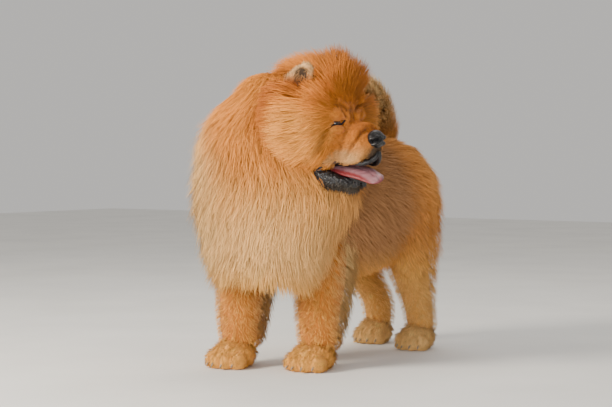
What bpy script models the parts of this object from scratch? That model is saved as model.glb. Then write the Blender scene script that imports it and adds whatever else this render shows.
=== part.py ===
"""Chow chow, standing with its head turned to its left: a still, life-size model.

Metres, +Z up. The dog's chest faces -Y and its left side is +X. The head has a frame of its own:
x towards the nose, y towards the head's left, z up.
"""
import math
import random

import bmesh
import bpy
import numpy as np
from mathutils import Matrix, Vector

# Kept between neighbouring nodes
GAP = 0.0004
# Faces this close to one plane become one before they are split into triangles
FLAT_ANGLE = math.radians(0.1)
# Moves the finished dog so that its box stands centred on the origin
SHIFT = Vector((-0.0355, -0.0115, 0.0))

# Where each paw stands
PAW_SPOTS = {
    "forepaw_right": Vector((-0.088, -0.235, 0.0)),
    "forepaw_left": Vector((0.092, -0.175, 0.0)),
    "hindpaw_right": Vector((-0.075, 0.345, 0.0)),
    "hindpaw_left": Vector((0.085, 0.290, 0.0)),
}
FOREPAW_WIDTH = 0.098
HINDPAW_WIDTH = 0.084

# The head's frame, turned from the body's forward direction towards the dog's left
HEAD_CENTRE = Vector((0.130, -0.210, 0.575))
HEAD_TURN = math.radians(88)
HEAD_FRAME = Matrix.Translation(HEAD_CENTRE) @ Matrix.Rotation(HEAD_TURN - math.pi / 2, 4, "Z")

EYE_CENTRE = Vector((0.0665, 0.0395, -0.020))
EYE_RADIUS = 0.0110
SIDES = ((1, "left"), (-1, "right"))


class Form:
    """A rounded length of body on a curved spine, with the coat's tips outside and a core inside.

    Each station is (x, y, z), then (side, over, under), then their three insets: the spine's point,
    the reach of the coat's tips sideways, towards the hint and away from it, and how far inside
    the tips the core lies on each of these. Sections are square to the spine, or to square_to.
    """

    def __init__(self, stations, hint, caps, square_to=None):
        self.table = np.array(stations, float)
        self.hint = np.array(hint, float)
        self.caps = caps
        self.square_to = square_to
        self.last = len(stations) - 1

    def values(self, s):
        """The stations' numbers at s, smoothly between them."""
        i = np.clip(np.floor(s).astype(int), 0, self.last - 1)
        t = (s - i)[:, None]
        row = self.table
        p0, p1 = row[np.clip(i - 1, 0, self.last)], row[i]
        p2, p3 = row[i + 1], row[np.clip(i + 2, 0, self.last)]
        return 0.5 * (2 * p1 + (p2 - p0) * t + (2 * p0 - 5 * p1 + 4 * p2 - p3) * t**2
                      + (3 * p1 - p0 - 3 * p2 + p3) * t**3)

    def points(self, s, turn, depth):
        """Surface points. s runs from -1 to last + 1, with a dome past each end station.

        A depth of 1 is the tips and 0 the core.
        """
        s, turn, depth = np.broadcast_arrays(*(np.asarray(a, float) for a in (s, turn, depth)))
        inner = np.clip(s, 0, self.last)
        step = 0.01
        ahead = self.values(np.clip(inner + step, 0, self.last))[:, :3]
        behind = self.values(np.clip(inner - step, 0, self.last))[:, :3]
        along = ahead - behind
        if self.square_to is not None:
            along = np.tile(self.square_to, (len(s), 1))
        along /= np.linalg.norm(along, axis=1, keepdims=True)
        aside = np.cross(self.hint, along)
        aside /= np.linalg.norm(aside, axis=1, keepdims=True)
        over = np.cross(along, aside)
        v = self.values(inner)
        upper = np.cos(turn) > 0
        bare = 1 - depth
        wide = v[:, 3] - v[:, 6] * bare
        high = np.where(upper, v[:, 4] - v[:, 7] * bare, v[:, 5] - v[:, 8] * bare)
        past = s - inner
        bend = np.abs(past) * math.pi / 2
        cap = np.where(past < 0, self.caps[0], self.caps[1]) * (1 - 0.5 * bare)
        out = aside * (wide * np.sin(turn))[:, None] + over * (high * np.cos(turn))[:, None]
        return (v[:, :3] + out * np.cos(bend)[:, None]
                + along * (np.sign(past) * cap * np.sin(bend))[:, None])

    def mesh(self, rings, sides, depth=1.0, dome=3):
        """The closed surface as a bmesh: rings along the spine, and domes over the ends."""
        levels = ([-1 + k / dome for k in range(1, dome)] + list(np.linspace(0, self.last, rings))
                  + [self.last + k / dome for k in range(1, dome)])
        turns = np.arange(sides) * 2 * math.pi / sides
        bm = bmesh.new()
        loops = []
        for level in levels:
            spots = self.points(np.full(sides, level), turns, depth)
            loops.append([bm.verts.new(p) for p in spots])
        for low, high in zip(loops, loops[1:]):
            for k in range(sides):
                n = (k + 1) % sides
                bm.faces.new((low[k], low[n], high[n]))
                bm.faces.new((low[k], high[n], high[k]))
        for loop, end in ((loops[0], -1.0), (loops[-1], self.last + 1.0)):
            tip = bm.verts.new(self.points([end], [0.0], depth)[0])
            for k in range(sides):
                bm.faces.new((loop[k], loop[(k + 1) % sides], tip))
        bmesh.ops.recalc_face_normals(bm, faces=bm.faces[:])
        return bm


def lock(form, root, tip, half, thick, fall):
    """One tapered blade of coat as a bmesh, from (s, turn) in the core to (s, turn) at the tips.

    half and thick are its greatest half width and half thickness, and fall lets the tip hang.
    """
    mid = [root[k] + 0.50 * (tip[k] - root[k]) for k in (0, 1)]
    start, bow, end = form.points([root[0], mid[0], tip[0]], [root[1], mid[1], tip[1]], [-0.45, 0.62, 1.0])
    end = end - np.array([0.0, 0.0, fall])
    outer = form.points([root[0], tip[0]], [root[1], tip[1]], [1.3, 1.3])
    normal = (outer[0] - start) / np.linalg.norm(outer[0] - start)
    bm = bmesh.new()
    loops = []
    shape = ((0.0, 0.72, 0.80), (0.45, 1.0, 1.0))
    for t, broad, deep in shape:
        spot = (1 - t)**2 * start + 2 * t * (1 - t) * bow + t**2 * end
        along = 2 * (1 - t) * (bow - start) + 2 * t * (end - bow)
        along /= np.linalg.norm(along)
        aside = np.cross(along, normal)
        aside /= np.linalg.norm(aside)
        out = np.cross(aside, along)
        under = spot - out * 0.4 * thick * deep
        loops.append([bm.verts.new(under + aside * half * broad), bm.verts.new(spot + out * thick * deep),
                      bm.verts.new(under - aside * half * broad)])
    point = bm.verts.new(end)
    for low, high in zip(loops, loops[1:]):
        for k in range(3):
            n = (k + 1) % 3
            bm.faces.new((low[k], low[n], high[n]))
            bm.faces.new((low[k], high[n], high[k]))
    for k in range(3):
        bm.faces.new((loops[-1][k], loops[-1][(k + 1) % 3], point))
    bm.faces.new(loops[0])
    bmesh.ops.recalc_face_normals(bm, faces=bm.faces[:])
    return bm


def locks(form, coat):
    """The coat's locks as bmeshes: rows along the form, each spread evenly over an arc round it.

    An arc is (middle, half angle) in degrees. Locks in one row lie half a step off the last row's.
    """
    draw = random.Random(coat["seed"])
    made = []
    for number, (start, stop, count, middle, reach) in enumerate(coat["rows"]):
        full = reach >= 180
        step = math.radians(2 * reach) / (count if full else max(count - 1, 1))
        for k in range(count):
            turn = math.radians(middle - reach) + (k + (0.5 * (number % 2) if full else 0.0)) * step
            turn += draw.uniform(-0.07, 0.07) * step
            shrink = draw.uniform(0.86, 1.0)
            slide = draw.uniform(-0.08, 0.08)
            droop = coat["swing"] * math.sin(turn) * draw.uniform(0.6, 1.4)
            size = draw.uniform(0.9, 1.05)
            root = (start + slide, turn)
            tip = (start + slide + (stop - start) * shrink, turn + droop)
            if coat.get("skip") and coat["skip"](root, tip):
                continue
            made.append(lock(form, root, tip, coat["half"] * size, coat["thick"], coat["fall"]))
    return made


def material(name, colour, roughness):
    mat = bpy.data.materials.new(name)
    mat.use_nodes = True
    shader = mat.node_tree.nodes["Principled BSDF"]
    shader.inputs["Base Color"].default_value = (*colour, 1.0)
    shader.inputs["Roughness"].default_value = roughness
    mat.diffuse_color = (*colour, 1.0)
    return mat


def add_object(name, bm, frame=None):
    """An object of its own from a bmesh, moved out of the head's frame where one is given."""
    if frame is not None:
        bm.transform(frame)
    mesh = bpy.data.meshes.new(name)
    bm.to_mesh(mesh)
    bm.free()
    obj = bpy.data.objects.new(name, mesh)
    bpy.context.scene.collection.objects.link(obj)
    return obj


def ball(centre, radii, segments=16, tilt=(0.0, 0.0, 0.0)):
    """An ellipsoid as a bmesh."""
    bm = bmesh.new()
    place = Matrix.Translation(centre)
    for angle, axis in zip(tilt, "XYZ"):
        place = place @ Matrix.Rotation(angle, 4, axis)
    size = Matrix.Diagonal((*radii, 1.0))
    bmesh.ops.create_uvsphere(bm, u_segments=segments, v_segments=segments // 2 + 1, radius=1.0,
                              matrix=place @ size)
    bmesh.ops.triangulate(bm, faces=bm.faces[:])
    return bm


def apply_modifiers(obj):
    graph = bpy.context.evaluated_depsgraph_get()
    mesh = bpy.data.meshes.new_from_object(obj.evaluated_get(graph))
    obj.modifiers.clear()
    old = obj.data
    obj.data = mesh
    bpy.data.meshes.remove(old)


def boolean(obj, others, operation):
    """Joins the others to obj, or cuts them from it, and removes them."""
    group = bpy.data.collections.new("pieces")
    bpy.context.scene.collection.children.link(group)
    for other in others:
        group.objects.link(other)
    modifier = obj.modifiers.new("join", "BOOLEAN")
    modifier.operation = operation
    modifier.operand_type = "COLLECTION"
    modifier.collection = group
    modifier.solver = "MANIFOLD"
    bpy.context.view_layer.update()
    apply_modifiers(obj)
    for other in others:
        mesh = other.data
        bpy.data.objects.remove(other)
        bpy.data.meshes.remove(mesh)
    bpy.data.collections.remove(group)


def keep_largest(obj):
    """Leaves only the closed surface that holds the most volume."""
    bm = bmesh.new()
    bm.from_mesh(obj.data)
    bmesh.ops.dissolve_limit(bm, angle_limit=FLAT_ANGLE, verts=bm.verts[:], edges=bm.edges[:])
    bmesh.ops.triangulate(bm, faces=bm.faces[:])
    left = set(bm.faces)
    shells = []
    while left:
        stack = [left.pop()]
        shell = []
        while stack:
            face = stack.pop()
            shell.append(face)
            for edge in face.edges:
                near = next((f for f in edge.link_faces if f in left), None)
                if near and len(edge.link_faces) == 2:
                    left.remove(near)
                    stack.append(near)
        volume = sum(f.verts[0].co.dot(f.verts[1].co.cross(f.verts[2].co)) for f in shell) / 6
        shells.append((volume, shell))
    shells.sort(key=lambda pair: pair[0])
    for _, shell in shells[:-1]:
        bmesh.ops.delete(bm, geom=shell, context="FACES")
    bm.to_mesh(obj.data)
    bm.free()


def swell(obj, by=GAP):
    """Moves each face out by at least this much, so that obj cuts a neighbour clear of its shape."""
    bm = bmesh.new()
    bm.from_mesh(obj.data)
    bmesh.ops.triangulate(bm, faces=bm.faces[:])
    bm.normal_update()
    moves = []
    for vert in bm.verts:
        normals = np.array([face.normal for face in vert.link_faces if face.normal.length > 0.5])
        move = np.linalg.lstsq(normals, np.ones(len(normals)), rcond=None)[0]
        moves.append(move * by / max((normals @ move).min(), 0.25))
    for vert, move in zip(bm.verts, moves):
        vert.co += Vector(move)
    bm.to_mesh(obj.data)
    bm.free()
    return obj


def copy_of(obj):
    copy = obj.copy()
    copy.data = obj.data.copy()
    bpy.context.scene.collection.objects.link(copy)
    return copy


def soften(obj, voxel, rounds, triangles):
    """Blends joined forms into one smooth skin with about that many triangles."""
    remesh = obj.modifiers.new("blend", "REMESH")
    remesh.mode = "VOXEL"
    remesh.voxel_size = voxel
    smooth = obj.modifiers.new("smooth", "SMOOTH")
    smooth.iterations = rounds
    smooth.factor = 0.5
    apply_modifiers(obj)
    fewer = obj.modifiers.new("fewer", "DECIMATE")
    fewer.ratio = min(1.0, triangles / (2 * len(obj.data.polygons)))
    fewer.use_collapse_triangulate = True
    apply_modifiers(obj)


# The body's forms, each with the reach of its coat
TORSO = Form([
    (0.010, -0.200, 0.375, 0.150, 0.140, 0.150, 0.034, 0.030, 0.030),
    (0.008, -0.110, 0.372, 0.180, 0.170, 0.178, 0.040, 0.036, 0.034),
    (0.004, 0.000, 0.370, 0.183, 0.173, 0.184, 0.040, 0.036, 0.034),
    (0.000, 0.110, 0.372, 0.182, 0.172, 0.184, 0.040, 0.036, 0.034),
    (0.000, 0.220, 0.378, 0.176, 0.168, 0.172, 0.042, 0.036, 0.034),
    (0.000, 0.300, 0.376, 0.141, 0.146, 0.138, 0.040, 0.036, 0.034),
], hint=(0, 0, 1), caps=(0.06, 0.085), square_to=(0.0, 1.0, 0.0))
TORSO_COAT = {
    "seed": 11, "half": 0.047, "thick": 0.013, "fall": 0.006, "swing": 0.30,
    "rows": [(0.8, 2.3, 7, 0, 130), (1.75, 3.3, 8, 0, 152), (2.7, 4.2, 9, 0, 160),
             (3.65, 5.05, 8, 0, 140)],
}

RUMP = Form([
    (0.0, 0.245, 0.270, 0.140, 0.110, 0.080, 0.040, 0.040, 0.030),
    (0.0, 0.240, 0.350, 0.165, 0.145, 0.100, 0.045, 0.045, 0.030),
    (0.0, 0.235, 0.430, 0.160, 0.136, 0.100, 0.045, 0.045, 0.030),
    (0.0, 0.230, 0.490, 0.120, 0.100, 0.080, 0.036, 0.036, 0.030),
], hint=(0, 1, 0), caps=(0.05, 0.04), square_to=(0.0, 0.0, 1.0))
RUMP_COAT = {
    "seed": 17, "half": 0.040, "thick": 0.012, "fall": 0.010, "swing": 0.0,
    "rows": [(3.2, 1.8, 4, 0, 66), (2.2, 0.8, 5, 0, 72), (1.2, -0.4, 6, 0, 78)],
}

MANE = Form([
    (-0.014, -0.230, 0.262, 0.155, 0.070, 0.104, 0.054, 0.030, 0.038),
    (-0.004, -0.220, 0.335, 0.204, 0.122, 0.130, 0.068, 0.042, 0.046),
    (0.000, -0.205, 0.400, 0.230, 0.146, 0.144, 0.070, 0.046, 0.050),
    (-0.010, -0.200, 0.460, 0.216, 0.158, 0.148, 0.068, 0.050, 0.052),
    (-0.030, -0.195, 0.520, 0.190, 0.158, 0.146, 0.064, 0.050, 0.052),
    (-0.015, -0.195, 0.580, 0.160, 0.146, 0.140, 0.056, 0.050, 0.050),
    (0.020, -0.200, 0.640, 0.118, 0.118, 0.114, 0.044, 0.040, 0.040),
], hint=(0, 1, 0), caps=(0.075, 0.050), square_to=(0.0, 0.0, 1.0))
MANE_COAT = {
    "seed": 23, "half": 0.046, "thick": 0.013, "fall": 0.012, "swing": 0.0,
    "rows": [(6.4, 4.7, 7, 180, 180), (5.3, 3.5, 10, 180, 180), (4.1, 2.3, 10, 180, 180),
             (3.0, 1.1, 9, 180, 138), (1.9, 0.0, 8, 180, 122), (1.0, -0.50, 6, 180, 110)],
}

TAIL = Form([
    (-0.018, 0.275, 0.500, 0.045, 0.045, 0.045, 0.022, 0.022, 0.022),
    (-0.018, 0.255, 0.570, 0.060, 0.052, 0.050, 0.034, 0.030, 0.026),
    (-0.018, 0.200, 0.614, 0.070, 0.074, 0.064, 0.040, 0.042, 0.032),
    (-0.018, 0.125, 0.614, 0.077, 0.086, 0.070, 0.044, 0.048, 0.036),
    (-0.014, 0.065, 0.580, 0.066, 0.070, 0.056, 0.039, 0.040, 0.030),
], hint=(0, 1, 0.001), caps=(0.03, 0.045))
TAIL_COAT = {
    "seed": 41, "half": 0.031, "thick": 0.010, "fall": 0.0, "swing": 0.25,
    "rows": [(0.2, 1.8, 4, 0, 100), (1.3, 2.9, 5, 0, 115), (2.4, 3.9, 6, 0, 125),
             (3.4, 4.7, 5, 0, 125)],
}

HEAD_COAT = Form([
    (-0.100, 0.006, -0.005, 0.128, 0.134, 0.108, 0.050, 0.052, 0.040),
    (-0.055, 0.008, -0.005, 0.158, 0.154, 0.137, 0.062, 0.064, 0.050),
    (-0.015, 0.008, -0.005, 0.170, 0.155, 0.152, 0.068, 0.062, 0.055),
    (0.018, 0.008, -0.005, 0.170, 0.148, 0.154, 0.070, 0.057, 0.055),
    (0.048, 0.008, -0.005, 0.156, 0.120, 0.142, 0.068, 0.046, 0.050),
], hint=(0, 0, 1), caps=(0.03, 0.030))
EAR_TURN = math.radians(43)


def meets_ear(root, tip):
    """True where a lock of the head would stand in front of an ear."""
    turn = (root[1] + math.pi) % (2 * math.pi) - math.pi
    return abs(abs(turn) - EAR_TURN) < math.radians(17) and tip[0] > 0.75


CHEEK_COAT = {
    "seed": 47, "half": 0.038, "thick": 0.011, "fall": 0.006, "swing": 0.12, "skip": meets_ear,
    "rows": [(4.35, 2.9, 11, 0, 180), (3.3, 1.6, 10, 0, 180), (2.1, 0.3, 8, 0, 180),
             (4.0, 2.2, 3, 0, 22), (2.9, 1.1, 2, 0, 14)],
}


def leg_form(name):
    spot = PAW_SPOTS[name.replace("leg", "paw")]
    side = 1 if name.endswith("left") else -1
    x, y = spot.x, spot.y
    if name.startswith("fore"):
        stations = [
            (x - 0.014, y + 0.046, 0.300, 0.078, 0.062, 0.094, 0.018, 0.012, 0.046),
            (x - 0.008, y + 0.030, 0.200, 0.067, 0.054, 0.114, 0.010, 0.008, 0.056),
            (x - 0.003, y + 0.012, 0.120, 0.055, 0.049, 0.102, 0.007, 0.006, 0.052),
            (x, y + 0.010, 0.060, 0.047, 0.047, 0.072, 0.006, 0.006, 0.030),
        ]
    else:
        stations = [
            (side * 0.095, 0.190, 0.380, 0.085, 0.110, 0.130, 0.028, 0.030, 0.040),
            (side * 0.100, 0.195, 0.280, 0.082, 0.095, 0.125, 0.028, 0.026, 0.050),
            (0.04 * side + 0.6 * x, 0.5 * y + 0.095, 0.190, 0.058, 0.064, 0.085, 0.014, 0.012, 0.040),
            (x, y - 0.010, 0.115, 0.043, 0.042, 0.056, 0.007, 0.006, 0.018),
            (x, y + 0.004, 0.055, 0.038, 0.036, 0.052, 0.006, 0.006, 0.016),
        ]
    return Form(stations, hint=(0, -1, 0), caps=(0.05, 0.030), square_to=(0.0, 0.0, -1.0))


FORELEG_COAT = {
    "seed": 59, "half": 0.022, "thick": 0.009, "fall": 0.006, "swing": 0.0,
    "rows": [(0.6, 1.7, 3, 180, 55), (1.5, 2.5, 2, 180, 35), (2.2, 3.15, 3, 180, 52)],
}
HINDLEG_COAT = {
    "seed": 61, "half": 0.030, "thick": 0.010, "fall": 0.006, "swing": 0.0,
    "rows": [(0.2, 1.5, 4, 180, 92), (1.1, 2.4, 4, 180, 88), (2.0, 3.3, 3, 180, 50),
             (2.9, 3.95, 2, 180, 25)],
}


def furred(name, form, coat, rings, sides, frame=None):
    """A form's core with its locks, as separate closed pieces."""
    pieces = [add_object(name, form.mesh(rings, sides, 0.0), frame)]
    pieces += [add_object(f"{name}_lock", bm, frame) for bm in locks(form, coat)]
    return pieces


def joined(pieces):
    """The pieces as one closed body."""
    boolean(pieces[0], pieces[1:], "UNION")
    return pieces[0]


def paw(name):
    """A rounded paw: a palm and four toes side by side, cut flat on the floor."""
    spot = PAW_SPOTS[name]
    wide = FOREPAW_WIDTH if name.startswith("fore") else HINDPAW_WIDTH
    long = wide * 1.16
    palm = add_object(name, ball((spot.x, spot.y - 0.10 * long, 0.026),
                                 (wide * 0.47, long * 0.46, 0.034), 8))
    toes = []
    for k, (out, ahead) in enumerate(((-0.36, 0.36), (-0.13, 0.46), (0.13, 0.46), (0.36, 0.36))):
        centre = (spot.x + out * wide, spot.y - ahead * long, 0.017)
        toes.append(add_object(f"toe_{k}", ball(centre, (wide * 0.165, long * 0.21, 0.022), 7)))
    boolean(palm, toes, "UNION")
    floor = bmesh.new()
    bmesh.ops.create_cube(floor, size=1.0, matrix=Matrix.Translation((spot.x, spot.y, -0.5)))
    boolean(palm, [add_object("floor", floor)], "DIFFERENCE")
    return palm


def face_forms():
    """The skull, cheeks, muzzle, lips and brows in the head's frame, as bmeshes."""
    muzzle = Form([
        (0.040, 0.0, -0.050, 0.046, 0.040, 0.040, 0, 0, 0),
        (0.080, 0.0, -0.058, 0.043, 0.043, 0.042, 0, 0, 0),
        (0.118, 0.0, -0.062, 0.041, 0.042, 0.038, 0, 0, 0),
    ], hint=(0, 0, 1), caps=(0.03, 0.034))
    forms = [
        ball((0.0, 0.0, 0.0), (0.085, 0.074, 0.064), 20),
        ball((0.010, 0.0, -0.085), (0.045, 0.050, 0.060), 16),
        muzzle.mesh(7, 20),
        ball((0.122, 0.0, -0.068), (0.030, 0.0385, 0.030), 16),
    ]
    for side, _ in SIDES:
        forms += [
            ball((0.020, side * 0.045, -0.045), (0.060, 0.040, 0.048)),
            ball((0.064, side * 0.037, 0.000), (0.023, 0.025, 0.017), 14),
            ball((0.078, side * 0.0205, -0.008), (0.012, 0.009, 0.017), 12),
            ball((0.070, side * 0.041, -0.034), (0.020, 0.024, 0.011), 14),
            ball((0.092, side * 0.029, -0.084), (0.046, 0.0145, 0.026), 14),
            ball((0.040, side * 0.040, -0.090), (0.028, 0.016, 0.026), 14),
        ]
    return forms


def face():
    """The bare face as one smooth closed body, before its eyes are cut."""
    forms = [add_object(f"form_{k}", bm, HEAD_FRAME) for k, bm in enumerate(face_forms())]
    boolean(forms[0], forms[1:], "UNION")
    soften(forms[0], voxel=0.0028, rounds=2, triangles=1450)
    return forms[0]


def eye(side, word):
    centre = (EYE_CENTRE.x, side * EYE_CENTRE.y, EYE_CENTRE.z)
    return add_object(f"eye_{word}", ball(centre, [EYE_RADIUS] * 3, 10), HEAD_FRAME)


def eye_cutters():
    """Each eye's socket, and the narrow opening between its lids."""
    cutters = []
    for side, _ in SIDES:
        centre = Vector((EYE_CENTRE.x, side * EYE_CENTRE.y, EYE_CENTRE.z))
        cutters.append(add_object("socket", ball(centre, [EYE_RADIUS + 2 * GAP] * 3, 12), HEAD_FRAME))
        slit = ball(centre + Vector((0.016, side * 0.006, 0.0)), (0.022, 0.0105, 0.0028), 12,
                    tilt=(side * 0.30, 0.0, side * 0.45))
        cutters.append(add_object("slit", slit, HEAD_FRAME))
    return cutters


def nose_pad():
    return add_object("nose", ball((0.146, 0.0, -0.054), (0.017, 0.0245, 0.0205), 12), HEAD_FRAME)


def nose():
    pad = nose_pad()
    holes = [add_object("nostril", ball((0.160, side * 0.0125, -0.056), (0.010, 0.0048, 0.0052), 6,
                                        tilt=(0, 0, side * 0.5)), HEAD_FRAME) for side, _ in SIDES]
    boolean(pad, holes, "DIFFERENCE")
    return pad


def jaw():
    form = Form([
        (0.000, 0.0, -0.137, 0.043, 0.022, 0.031, 0, 0, 0),
        (0.045, 0.0, -0.143, 0.040, 0.020, 0.028, 0, 0, 0),
        (0.085, 0.0, -0.149, 0.033, 0.016, 0.022, 0, 0, 0),
    ], hint=(0, 0, 1), caps=(0.02, 0.022))
    return add_object("lower_jaw", form.mesh(4, 10, dome=2), HEAD_FRAME)


def tongue():
    form = Form([
        (0.020, 0.0, -0.117, 0.022, 0.006, 0.006, 0, 0, 0),
        (0.070, 0.0, -0.117, 0.025, 0.007, 0.006, 0, 0, 0),
        (0.115, 0.0, -0.126, 0.026, 0.006, 0.005, 0, 0, 0),
        (0.150, 0.0, -0.141, 0.023, 0.0045, 0.004, 0, 0, 0),
    ], hint=(0, 0, 1), caps=(0.01, 0.018))
    return add_object("tongue", form.mesh(6, 10, dome=2), HEAD_FRAME)


def ear_shell(side, word):
    """A small thick ear, leaning forward, before its cup is cut."""
    shell = Form([
        (-0.036, side * 0.062, 0.036, 0.030, 0.015, 0.013, 0, 0, 0),
        (-0.018, side * 0.069, 0.066, 0.029, 0.013, 0.011, 0, 0, 0),
        (0.006, side * 0.075, 0.091, 0.023, 0.009, 0.009, 0, 0, 0),
        (0.022, side * 0.078, 0.106, 0.012, 0.006, 0.007, 0, 0, 0),
    ], hint=(0.75, side * 0.62, 0.0), caps=(0.008, 0.008))
    return add_object(f"ear_{word}", shell.mesh(5, 10, dome=2), HEAD_FRAME)


def ear(side, word):
    """An ear with its cup facing forward and out."""
    obj = ear_shell(side, word)
    cup = add_object("cup", ball((0.006, side * 0.082, 0.078), (0.011, 0.020, 0.026), 10,
                                 tilt=(0.0, 0.45, side * 0.69)), HEAD_FRAME)
    boolean(obj, [cup], "DIFFERENCE")
    return obj


def build():
    for obj in list(bpy.data.objects):
        bpy.data.objects.remove(obj)

    bare = face()

    def fur(name):
        """The pieces of one coated part."""
        if name == "head":
            return furred(name, HEAD_COAT, CHEEK_COAT, 4, 12, HEAD_FRAME)
        if name == "neck":
            return furred(name, MANE, MANE_COAT, 6, 12)
        if name == "tail":
            return furred(name, TAIL, TAIL_COAT, 5, 8)
        return furred("torso", TORSO, TORSO_COAT, 5, 12) + furred("rump", RUMP, RUMP_COAT, 4, 12)

    def room(*names):
        """The shapes of these parts, swollen by the gap, to cut from their neighbours."""
        found = []
        for name in names:
            found += fur(name)
            if name == "head":
                found += [copy_of(bare), jaw(), tongue(), nose_pad()] + [ear_shell(*one) for one in SIDES]
        return [swell(piece) for piece in found]

    nodes = [eye(*one) for one in SIDES] + [ear(*one) for one in SIDES] + [nose(), tongue()]
    skull = joined(fur("head") + [copy_of(bare)])
    skull.name = "head"
    holes = [nose_pad(), tongue()] + [ear_shell(*one) for one in SIDES]
    boolean(skull, eye_cutters() + [swell(hole) for hole in holes], "DIFFERENCE")
    chin = jaw()
    boolean(chin, [swell(piece) for piece in fur("head") + [copy_of(bare), tongue()]], "DIFFERENCE")
    neck = joined(fur("neck"))
    boolean(neck, room("head"), "DIFFERENCE")
    tail = joined(fur("tail"))
    boolean(tail, room("neck"), "DIFFERENCE")
    torso = joined(fur("torso"))
    boolean(torso, room("head", "neck", "tail"), "DIFFERENCE")
    nodes += [skull, chin, neck, tail, torso]
    for name in PAW_SPOTS:
        foot = paw(name)
        legs = name.replace("paw", "leg")
        coat = FORELEG_COAT if name.startswith("fore") else HINDLEG_COAT
        leg = joined(furred(legs, leg_form(legs), coat, 6, 12))
        boolean(leg, room("neck", "torso", "tail") + [swell(copy_of(foot))], "DIFFERENCE")
        nodes += [foot, leg]
    for node in nodes:
        keep_largest(node)
    bpy.data.objects.remove(bare)

    coat_red = material("coat_red", (0.62, 0.30, 0.10), 0.95)
    coat_cream = material("coat_cream", (0.78, 0.58, 0.36), 0.95)
    skin_black = material("skin_black", (0.02, 0.02, 0.022), 0.45)
    tongue_skin = material("tongue_skin", (0.50, 0.25, 0.26), 0.4)
    eye_dark = material("eye_dark", (0.03, 0.015, 0.01), 0.1)
    looks = {"eye": eye_dark, "nose": skin_black, "tongue": tongue_skin, "lower": skin_black,
             "tail": coat_cream, "neck": coat_cream}
    for obj in nodes:
        obj.data.materials.clear()
        obj.data.materials.append(looks.get(obj.name.split("_")[0], coat_red))
        obj.data.transform(Matrix.Translation(SHIFT))


build()
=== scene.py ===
# A chow chow standing with its head turned, as a still life-size model.
from math import cos, sin, pi, radians

import bmesh
import bpy
import numpy as np
from mathutils import Matrix, Vector
from mathutils.bvhtree import BVHTree
from mathutils.kdtree import KDTree


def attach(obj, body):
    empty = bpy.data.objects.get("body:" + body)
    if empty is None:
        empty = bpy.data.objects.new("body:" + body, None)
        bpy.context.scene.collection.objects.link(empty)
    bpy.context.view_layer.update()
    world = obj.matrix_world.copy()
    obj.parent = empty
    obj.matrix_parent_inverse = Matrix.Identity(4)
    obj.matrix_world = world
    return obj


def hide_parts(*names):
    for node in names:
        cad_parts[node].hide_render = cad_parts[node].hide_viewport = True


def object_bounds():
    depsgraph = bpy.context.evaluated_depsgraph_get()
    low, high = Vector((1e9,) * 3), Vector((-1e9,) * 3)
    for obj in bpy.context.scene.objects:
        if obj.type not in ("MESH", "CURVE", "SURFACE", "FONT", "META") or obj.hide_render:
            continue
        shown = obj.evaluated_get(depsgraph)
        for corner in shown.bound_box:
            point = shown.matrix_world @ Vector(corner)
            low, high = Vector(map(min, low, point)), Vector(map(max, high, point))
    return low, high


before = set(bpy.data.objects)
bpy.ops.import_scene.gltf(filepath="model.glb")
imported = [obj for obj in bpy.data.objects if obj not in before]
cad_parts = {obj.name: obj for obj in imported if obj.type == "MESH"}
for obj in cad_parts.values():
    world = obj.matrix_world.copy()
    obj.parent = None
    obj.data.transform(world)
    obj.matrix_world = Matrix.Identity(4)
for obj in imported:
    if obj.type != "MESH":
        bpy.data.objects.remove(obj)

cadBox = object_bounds()
bodyShift = Vector((-0.0355, -0.0115, 0.0))  # from the dog's own middle to the frame's origin
words = {-1: "right", 1: "left"}
scene = bpy.context.scene
print("frame loaded")


# Camera, lights and floor

camera = {"lens": 94.8, "heading": 35.0, "tilt": 1.94, "distance": 3.844, "aside": 0.049, "height": 0.5}
lights = {
    "key": {"at": (-1.15, -2.9, 1.95), "size": 1.3, "power": 168.0, "colour": (1.0, 0.92, 0.8)},
    "fill": {"at": (1.3, -3.3, 0.8), "size": 1.8, "power": 62.0, "colour": (0.94, 0.97, 1.0)},
    "top": {"at": (-0.6, 1.2, 2.8), "size": 2.0, "power": 26.0, "colour": (1.0, 0.97, 0.92)},
}
lightTarget = Vector((0, -0.05, 0.4))
sky = {"colour": (0.97, 0.945, 0.91), "strength": 0.62}
floor = {"size": 14.0, "colour": (0.8, 0.79, 0.76)}


def show(name, data):
    obj = bpy.data.objects.new(name, data)
    scene.collection.objects.link(obj)
    return obj


def setCamera():
    turn, tilt = radians(camera["heading"]), radians(camera["tilt"])
    ahead = Vector((-sin(turn), cos(turn), 0))
    right = Vector((cos(turn), sin(turn), 0))
    data = bpy.data.cameras.new("camera")
    data.lens = camera["lens"]
    data.sensor_width = 36.0
    obj = show("camera", data)
    obj.location = (bodyShift - ahead * camera["distance"] - right * camera["aside"]
                    + Vector((0, 0, camera["height"])))
    look = ahead * cos(tilt) - Vector((0, 0, sin(tilt)))
    obj.rotation_euler = look.to_track_quat("-Z", "Y").to_euler()
    scene.camera = obj


def setLights():
    for name, plan in lights.items():
        data = bpy.data.lights.new(name, "AREA")
        data.shape = "DISK"
        data.size = plan["size"]
        data.energy = plan["power"]
        data.color = plan["colour"]
        obj = show(name, data)
        obj.location = plan["at"]
        obj.rotation_euler = (lightTarget - Vector(plan["at"])).to_track_quat("-Z", "Y").to_euler()
    world = bpy.data.worlds.new("studio")
    world.use_nodes = True
    backdrop = world.node_tree.nodes["Background"]
    backdrop.inputs["Color"].default_value = (*sky["colour"], 1.0)
    backdrop.inputs["Strength"].default_value = sky["strength"]
    scene.world = world


setCamera()
setLights()


# Shader maths

def operator(kind, reflected=False):
    def method(self, other):
        return self.sum(kind, *((other, self) if reflected else (self, other)))
    return method


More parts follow.
